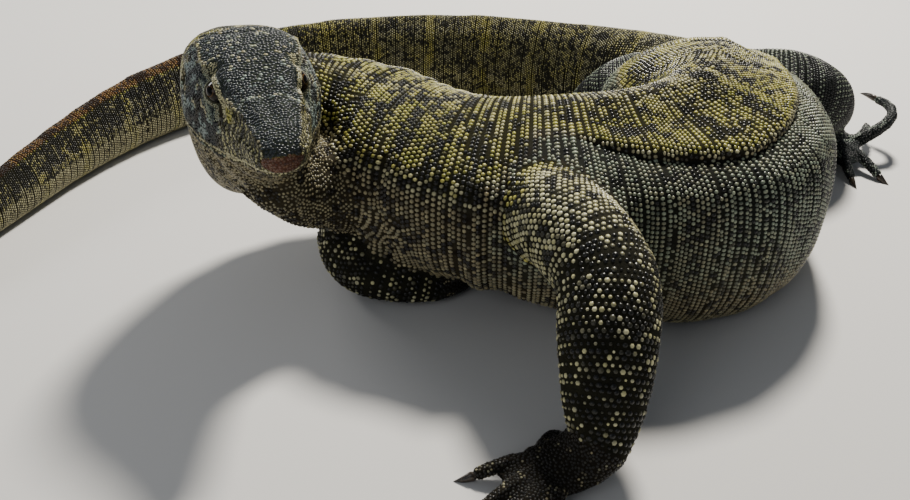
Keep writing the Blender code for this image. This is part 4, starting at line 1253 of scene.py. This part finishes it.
def gap_ahead(near=9):
    """How far each scale is from the next one along its lie, before or behind."""
    tree = KDTree(len(root_place))
    for i, place in enumerate(root_place):
        tree.insert(place, i)
    tree.balance()
    others = np.array([[found[1] for found in tree.find_n(place, near)] for place in root_place])
    gaps = root_place[others[:, 1:]] - root_place[:, None]
    far = lengths(gaps)
    along = np.abs((gaps * root_lie[:, None]).sum(2)) / np.maximum(far, 1e-6)
    return np.where(along > AHEAD, far, 9.0).min(1)


ahead = gap_ahead()
stretch = (ahead < 1.9 * root_pitch) & ~at_root.head & ~at_root.of("fore", "tail")
root_long = np.where(stretch, np.maximum(root_long, 0.46 * ahead), root_long)
print("beads that may be drawn longer:", int(stretch.sum()))


# %% All the beads of one part as a mesh
def bead_mesh(name, chosen, spread):
    """One mesh of the chosen scales; spread gives each its place on the unwrap."""
    place, normal = root_place[chosen], root_normal[chosen]
    lie = root_lie[chosen]
    lie = unit(lie - normal * (lie * normal).sum(1, keepdims=True))
    across = np.cross(normal, lie)
    long, wide, high = (values[chosen] for values in (root_long, root_wide, root_high))
    shape = SHAPES.get(name, BEAD_CORNERS)
    corners = (
        place[:, None]
        + lie[:, None] * (shape[None, :, :1] * long[:, None, None])
        + across[:, None] * (shape[None, :, 1:2] * wide[:, None, None])
        + normal[:, None] * (shape[None, :, 2:] * high[:, None, None])
    ).reshape(-1, 3)
    corners[:, 2] = np.maximum(corners[:, 2], 0.0)
    each = len(shape)
    triangles = (BEAD_TRIANGLES[None] + np.arange(len(place))[:, None, None] * each).reshape(-1, 3)
    mesh = bpy.data.meshes.new(name)
    mesh.vertices.add(len(corners))
    mesh.vertices.foreach_set("co", corners.ravel())
    mesh.loops.add(triangles.size)
    mesh.loops.foreach_set("vertex_index", triangles.ravel())
    mesh.polygons.add(len(triangles))
    mesh.polygons.foreach_set("loop_start", np.arange(0, triangles.size, 3))
    unwrap = mesh.uv_layers.new(name="OFBake")
    flat = spread[:, None] + shape[None, :, :2] * PATCH / 2
    unwrap.data.foreach_set("uv", flat.reshape(-1, 2)[triangles.ravel()].ravel())
    mesh.update(calc_edges=True)
    mesh.shade_smooth()
    # On the head only the front edge of a rim is pale.
    front = 1 - 0.9 * (shape[:BEAD_SIDES, 0] > -0.5) * (name == "scales_head")
    for word, values, rim, fall in (("light", root_light, rim_light, front), ("hue", root_hue, rim_hue, 1.0)):
        told = np.repeat(values[chosen], each).reshape(-1, each)
        told[:, :BEAD_SIDES] = rim[chosen][:, None] * fall
        give(mesh, word, told.ravel())
    mesh.materials.append(scale_finish)
    piece = into_scene(name, mesh)
    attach(piece, "root")
    return piece


print("all the beads together will have", len(roots) * len(BEAD_TRIANGLES), "triangles")


# %% Unwraps, and the coat's pieces
def fit_between(values, low=0.02, high=0.98):
    span = values.max() - values.min()
    return low + (values - values.min()) / max(span, 1e-6) * (high - low)


def round_body(chosen):
    """An unwrap as of a sleeve cut open along the belly."""
    return np.column_stack([fit_between(at_root.distance[chosen]), fit_between(at_root.angle[chosen])])


def round_legs(chosen):
    """A sleeve for each leg, side by side."""
    spread = round_body(chosen)
    for number, leg in enumerate(LEG_PLACES):
        mine = at_root.of(leg)[chosen]
        if mine.any():
            spread[mine, 0] = (number + 0.04 + 0.92 * fit_between(at_root.distance[chosen][mine])) / 4
    return spread


def above_and_below(chosen):
    """Hands and feet as seen on their backs and on their soles, side by side."""
    spread = np.zeros((chosen.sum(), 2))
    place, normal = root_place[chosen], root_normal[chosen]
    for number, leg in enumerate(LEG_PLACES):
        for sole in (0, 1):
            mine = at_root.of(leg)[chosen] & ((normal[:, 2] < 0) == bool(sole))
            if mine.any():
                spread[mine, 0] = (number + 0.05 + 0.9 * fit_between(place[mine, 0])) / 4
                spread[mine, 1] = (sole + 0.05 + 0.9 * fit_between(place[mine, 1])) / 2
    return spread


front_half = at_root.distance < body.at("belly")
tail_cuts = (0.0, body.at("tail_b"), body.at("tail_d"), body.at("tail_g"), math.inf)
COAT = {
    "scales_head": (at_root.head, round_body),
    "scales_neck": (at_root.of("neck", "throat"), round_body),
    "scales_trunk_front": (at_root.of("trunk") & front_half, round_body),
    "scales_trunk_rear": (at_root.of("trunk") & ~front_half, round_body),
    "scales_forelegs": (at_root.of("fore") & ~at_root.feet, round_legs),
    "scales_hind_legs": (at_root.of("hind") & ~at_root.feet, round_legs),
    "scales_feet": (at_root.feet, above_and_below),
}
for number, (start, end) in enumerate(zip(tail_cuts, tail_cuts[1:]), start=1):
    length = (at_root.distance >= start) & (at_root.distance < end)
    COAT[f"scales_tail_{number}"] = (at_root.of("tail") & length, round_body)
for name, (chosen, unwrap) in COAT.items():
    piece = bead_mesh(name, chosen, unwrap(chosen))
    print(name, int(chosen.sum()), "scales,", len(piece.data.polygons), "triangles")

# %% [markdown]
# ## Claws and eyes
# A claw is dark horn with fine streaks, and the eye is a dark, wet ball with a thin golden ring
# round the pupil. A claw could be its solid made smoother, but it has to grow out of the toe's skin
# without a gap. So it is drawn afresh as a tapering tube along its solid's own curve, starting
# inside the toe. The eye is a round ball in place of its solid, a little bulged in front.

# %% Claws
def horn_material():
    made, tree, shader = new_material("claw horn")
    where = add_node(tree, "TexCoord")
    streaks = add_node(tree, "TexNoise", Scale=260, Detail=4, Distortion=0.6)
    colour = add_ramp(tree, ((0.35, (0.008, 0.007, 0.006)), (0.70, (0.050, 0.034, 0.022))))
    rough = add_node(tree, "MapRange", To_Min=0.16, To_Max=0.38)
    wire(
        tree, (where, "Object", streaks, "Vector"), (streaks, "Fac", colour, "Fac"),
        (colour, "Color", shader, "Base Color"), (streaks, "Fac", rough, "Value"),
        (rough, "Result", shader, "Roughness"),
    )
    return made


CLAW_RINGS, CLAW_SIDES = 16, 12
CLAW_START = -0.22  # inside the toe, as a share of the claw's length
CLAW_FLAT = 0.74  # how wide it is for its height
horn = horn_material()


def along_curve(curve, way):
    return np.stack([np.polyval(part, way) for part in curve], axis=1)


def claw_line(solid):
    """From a plain claw: its middle line as curves of the way from the root, its tip and thickness."""
    corners = mesh_arrays(solid)[0]
    off_toe = np.array([flesh_tree.find_nearest(Vector(corner))[3] for corner in corners])
    root, tip = corners[off_toe < off_toe.min() + 0.0012].mean(0), corners[off_toe.argmax()]
    share = (corners - root) @ (tip - root) / lengths(tip - root) ** 2
    curve = [np.polyfit(share, corners[:, axis], 2) for axis in range(3)]
    return curve, tip, lengths(corners - along_curve(curve, share))[share < 0.35].max()


for name in claw_names:
    curve, tip, thick = claw_line(nodes[name].data)
    way = np.linspace(CLAW_START, 1.0, CLAW_RINGS)
    middle = along_curve(curve, way)
    middle += (tip - middle[-1]) * (np.clip(way, 0, 1) ** 3)[:, None]
    along = unit(np.gradient(middle, axis=0))
    beside = unit(np.cross(along, [0.0, 0.0, 1.0]))
    over = np.cross(beside, along)
    radius = thick * (1 - np.clip(way, 0, 1) ** 1.5) ** 0.9 * (0.55 + 0.42 * ramp(way, -0.2, 0.10))
    corners, faces = [], []
    for i in range(CLAW_RINGS - 1):
        for k in range(CLAW_SIDES):
            turn = 2 * math.pi * k / CLAW_SIDES
            out = CLAW_FLAT * math.cos(turn) * beside[i] + math.sin(turn) * over[i]
            corners.append(middle[i] + radius[i] * out)
    corners += [tip, middle[0]]
    for k in range(CLAW_SIDES):
        j = (k + 1) % CLAW_SIDES
        for i in range(CLAW_RINGS - 2):
            a, b = i * CLAW_SIDES, (i + 1) * CLAW_SIDES
            faces.append((a + k, a + j, b + j, b + k))
        faces.append((b + k, b + j, len(corners) - 2))
        faces.append((j, k, len(corners) - 1))
    corners = np.array(corners)
    corners[:, 2] = np.maximum(corners[:, 2], 0.0)
    claw = new_piece(f"{name}_horn", corners, faces)
    claw.data.shade_smooth()
    claw.data.materials.append(horn)
    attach(claw, "root")
    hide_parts(name)
print("claws:", len(claw_names), "the last is %.1f mm thick" % (2000 * thick))


# %% Eyes
def eye_material():
    """Colour from how far a place lies from the pupil's middle, which is stored on the ball."""
    made, tree, shader = new_material("wet eye")
    reading = add_node(tree, "Attribute")
    reading.attribute_name = "from_pupil"
    iris = add_ramp(tree, ((0.0, (0.002, 0.002, 0.002)), (0.36, (0.003, 0.002, 0.002)),
                           (0.40, (0.12, 0.060, 0.015)), (0.46, (0.018, 0.010, 0.005)),
                           (0.72, (0.010, 0.006, 0.004)), (1.0, (0.004, 0.003, 0.002))))
    wire(tree, (reading, "Fac", iris, "Fac"), (iris, "Color", shader, "Base Color"))
    set_values(shader, Roughness=0.10, Specular_IOR_Level=0.20)
    return made


wet_eye = eye_material()
BULGE = 0.05
for name, middle in EYES.items():
    outward = eye_directions(name)[0]
    ball = bmesh.new()
    bmesh.ops.create_uvsphere(ball, u_segments=48, v_segments=32, radius=EYE_RADIUS * 0.995)
    looking = [float(unit(np.array(v.co)) @ outward) for v in ball.verts]
    for corner, facing in zip(ball.verts, looking):
        corner.co = Vector(middle) + corner.co * (1 + BULGE * max(0.0, facing) ** 6)
    mesh = bpy.data.meshes.new(f"{name}_ball")
    ball.to_mesh(mesh)
    ball.free()
    give(mesh, "from_pupil", [math.acos(min(1.0, max(-1.0, value))) for value in looking])
    mesh.materials.append(wet_eye)
    mesh.shade_smooth()
    eye = into_scene(f"{name}_ball", mesh)
    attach(eye, "root")
    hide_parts(name)
print("eyes finished")

# %% [markdown]
# ## Floor, light and camera
# The model stands on a plain pale floor in soft studio light, seen from a person's height a short
# way off, looking down at the head.

# %% Floor
floor_mesh = bpy.data.meshes.new("floor")
floor_mesh.from_pydata([(-6, -4, 0), (6, -4, 0), (6, 8, 0), (-6, 8, 0)], [], [(0, 1, 2, 3)])
floor = into_scene("floor", floor_mesh)
plain, _, shader = new_material("pale floor")
set_values(shader, Base_Color=(0.62, 0.61, 0.59, 1.0), Roughness=0.8)
floor_mesh.materials.append(plain)
floor.location.z = -0.0002  # just under the toes
print("floor", floor.dimensions[:2])

# %% Lights
world = bpy.context.scene.world or bpy.data.worlds.new("studio")
bpy.context.scene.world = world
world.use_nodes = True
set_values(world.node_tree.nodes["Background"], Color=(0.80, 0.86, 0.95, 1.0), Strength=0.20)


def soft_light(name, place, aim, size, power, colour=(1.0, 1.0, 1.0)):
    lamp = bpy.data.lights.new(name, "AREA")
    lamp.shape = "DISK"
    lamp.size = size
    lamp.energy = power
    lamp.color = colour
    made = into_scene(name, lamp)
    made.location = place
    made.rotation_euler = (Vector(aim) - Vector(place)).to_track_quat("-Z", "Y").to_euler()
    print(name, "light,", power, "watts")


soft_light("key", (0.55, 1.15, 1.7), (0.05, 0.0, 0.1), 0.35, 96, (1.0, 0.95, 0.86))
soft_light("fill", (-1.0, -1.7, 1.2), (0.0, 0.0, 0.1), 1.4, 7, (0.94, 0.96, 1.0))
soft_light("rim", (-1.5, 1.2, 1.0), (0.0, 0.1, 0.1), 0.7, 14)

# %% Camera
CAMERA_HEIGHT = 0.46
LOOKS_DOWN = math.radians(32.6)
LENS, SENSOR = 38.6, 36.0
lens = bpy.data.cameras.new("camera")
lens.lens, lens.sensor_width = LENS, SENSOR
lens.clip_start = 0.01
camera = into_scene("camera", lens)
camera.location = (DRAWING_MOVED[0], DRAWING_MOVED[1], CAMERA_HEIGHT)
camera.rotation_euler = (math.pi / 2 - LOOKS_DOWN, 0, 0)
bpy.context.scene.camera = camera
print("camera at", [round(value, 3) for value in camera.location])

# %% The last line
import json
